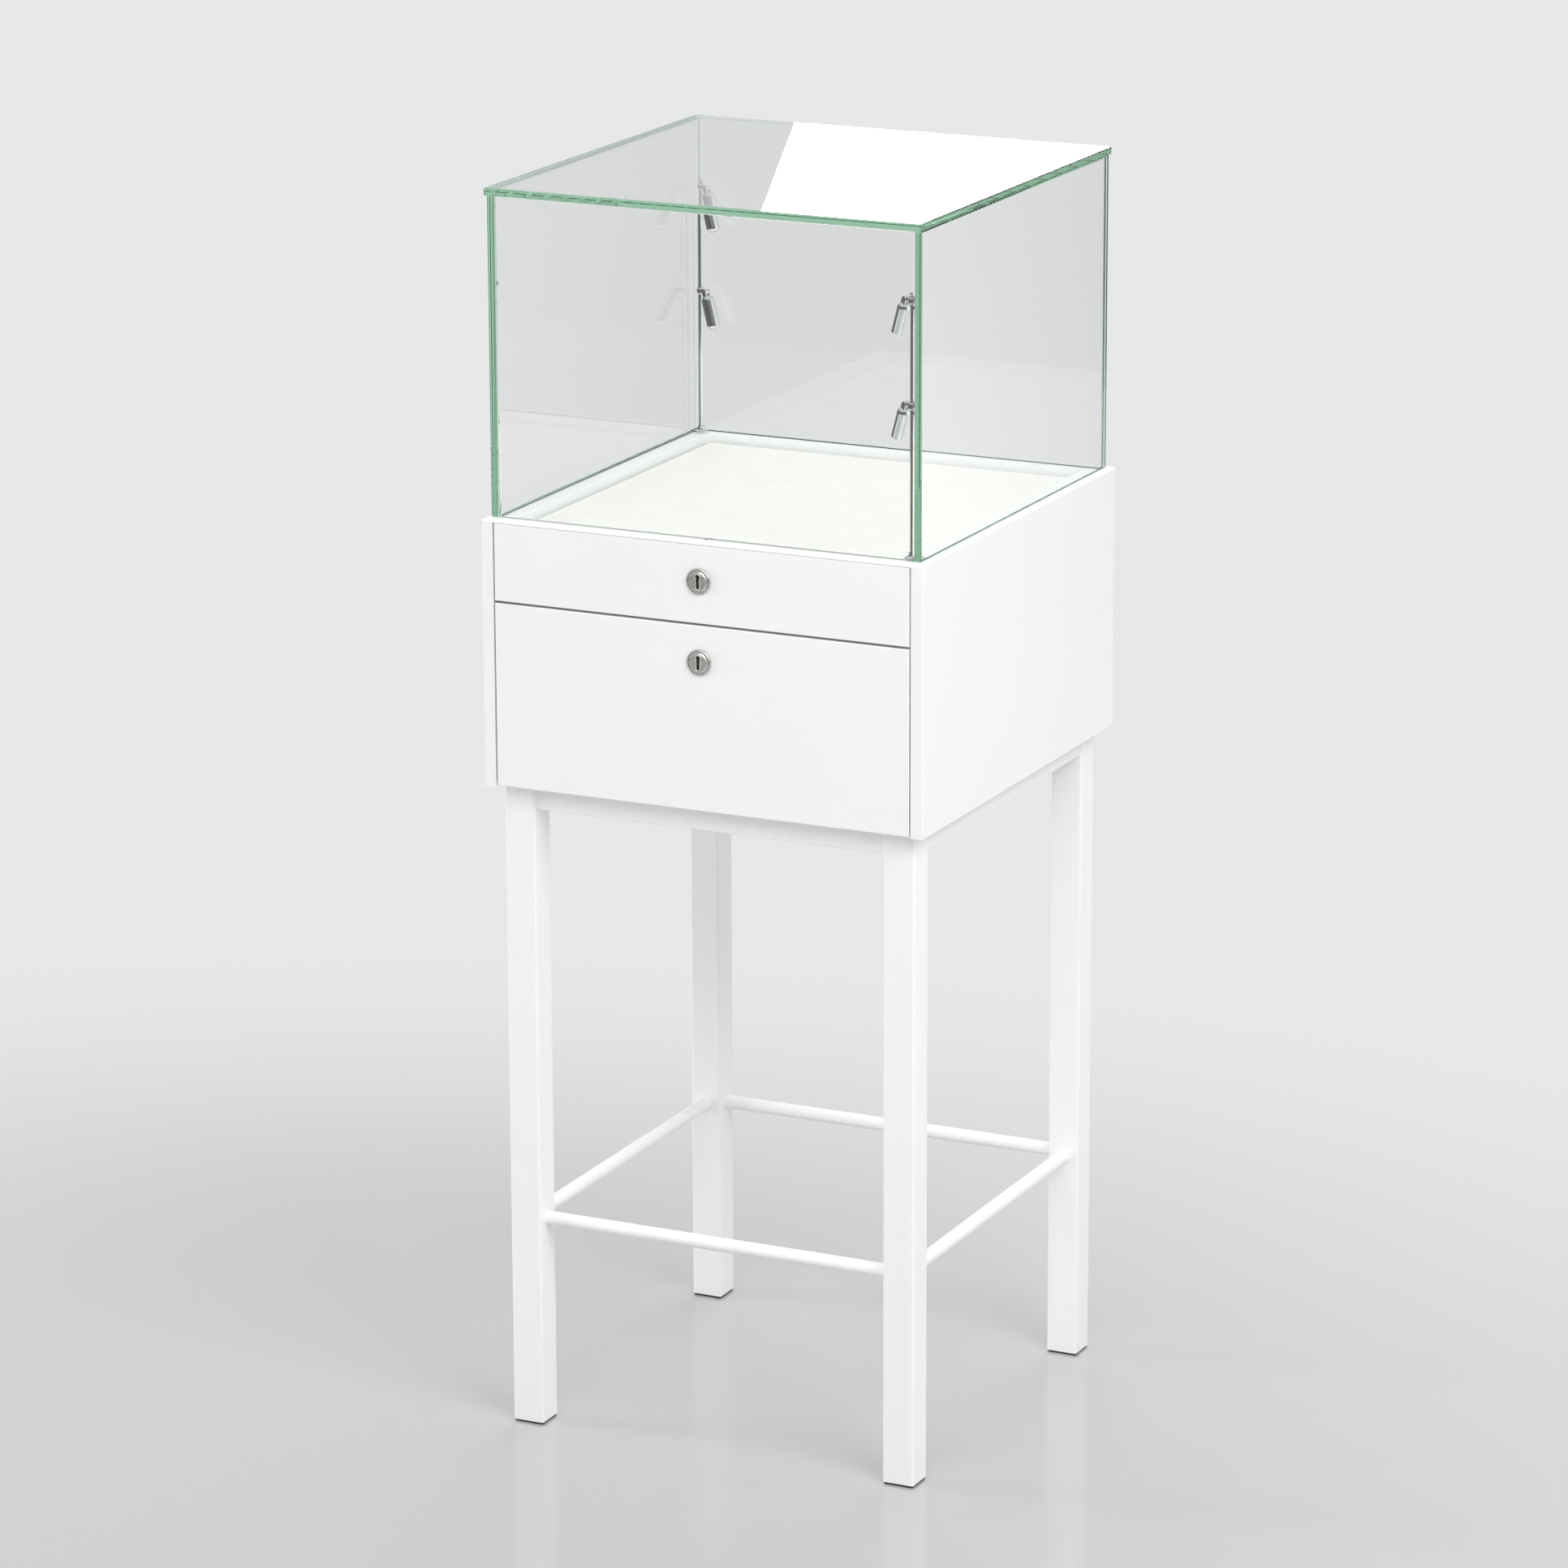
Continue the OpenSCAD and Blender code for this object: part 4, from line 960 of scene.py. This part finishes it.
def mirror_panel(own):
    """The panel that the top pane mirrors. It stands behind the case on the camera's line, and its left edge
    crosses the pane just left of the pane's middle."""
    eye = Vector(own.camera_place)
    top = Vector((0, 0, CAD_BOX[1].z))
    sight = top - eye
    up_way = Vector((sight.x, sight.y, -sight.z)).normalized()
    right = Vector((up_way.y, -up_way.x, 0)).normalized()
    aside = right * (PANEL_SIZE[0] / 2 + PANEL_SHIFT)
    middle = top + up_way * PANEL_DISTANCE + aside
    lamp = area_lamp("mirror_panel", middle, top + aside, PANEL_SIZE, own.panel_power)
    lamp.matrix_world = lamp.matrix_world @ Matrix.Rotation(PANEL_LEAN, 4, "Z")
    lamp.visible_diffuse = False
    panes = bpy.data.collections.new("panes")
    for name in GLAZED:
        panes.objects.link(frame["nodes"][name])
    lamp.light_linking.receiver_collection = panes


def camera(own):
    """The camera at the photographed angle. Its axes come from azimuth, elevation and roll."""
    a, e = own.azimuth, own.elevation
    back = Vector((math.sin(a) * math.cos(e), -math.cos(a) * math.cos(e), math.sin(e)))
    right = Vector((0, 0, 1)).cross(back).normalized()
    up = back.cross(right)
    c, s = math.cos(own.roll), math.sin(own.roll)
    turned = Matrix((c * right + s * up, c * up - s * right, back)).transposed()
    data = bpy.data.cameras.new("camera")
    data.lens, data.sensor_width, data.clip_end = own.lens, SENSOR_WIDTH, CLIP_END
    view = bpy.data.objects.new("camera", data)
    bpy.context.scene.collection.objects.link(view)
    view.matrix_world = Matrix.Translation(own.camera_place) @ turned.to_4x4()
    bpy.context.scene.camera = view


# ---- Panel and registration ----

OPERATORS = (CASE_OT_boards, CASE_OT_stand, CASE_OT_hood, CASE_OT_metals, CASE_OT_pad, CASE_OT_lenses,
             CASE_OT_keyholes, CASE_OT_studio)


class CASE_PT_panel(Panel):
    """Lists the case's steps and settings."""
    bl_label = "Display case"
    bl_idname = "CASE_PT_panel"
    bl_space_type = "VIEW_3D"
    bl_region_type = "UI"
    bl_category = "Display case"

    def draw(self, context):
        for step in OPERATORS:
            self.layout.operator(step.bl_idname)
        for name, group in SETTINGS.items():
            box = self.layout.box()
            for key in group.__annotations__:
                box.prop(getattr(context.scene, name), key)


def register():
    """Registers the settings, the operators and the panel."""
    for name, group in SETTINGS.items():
        bpy.utils.register_class(group)
        setattr(bpy.types.Scene, name, PointerProperty(type=group))
    for step in (*OPERATORS, CASE_PT_panel):
        bpy.utils.register_class(step)


def unregister():
    """Takes back what register did."""
    for step in reversed((*OPERATORS, CASE_PT_panel)):
        bpy.utils.unregister_class(step)
    for name, group in SETTINGS.items():
        delattr(bpy.types.Scene, name)
        bpy.utils.unregister_class(group)


def main():
    register()
    for step in OPERATORS:
        family, name = step.bl_idname.split(".")
        getattr(getattr(bpy.ops, family), name)()


if __name__ == "__main__":
    main()
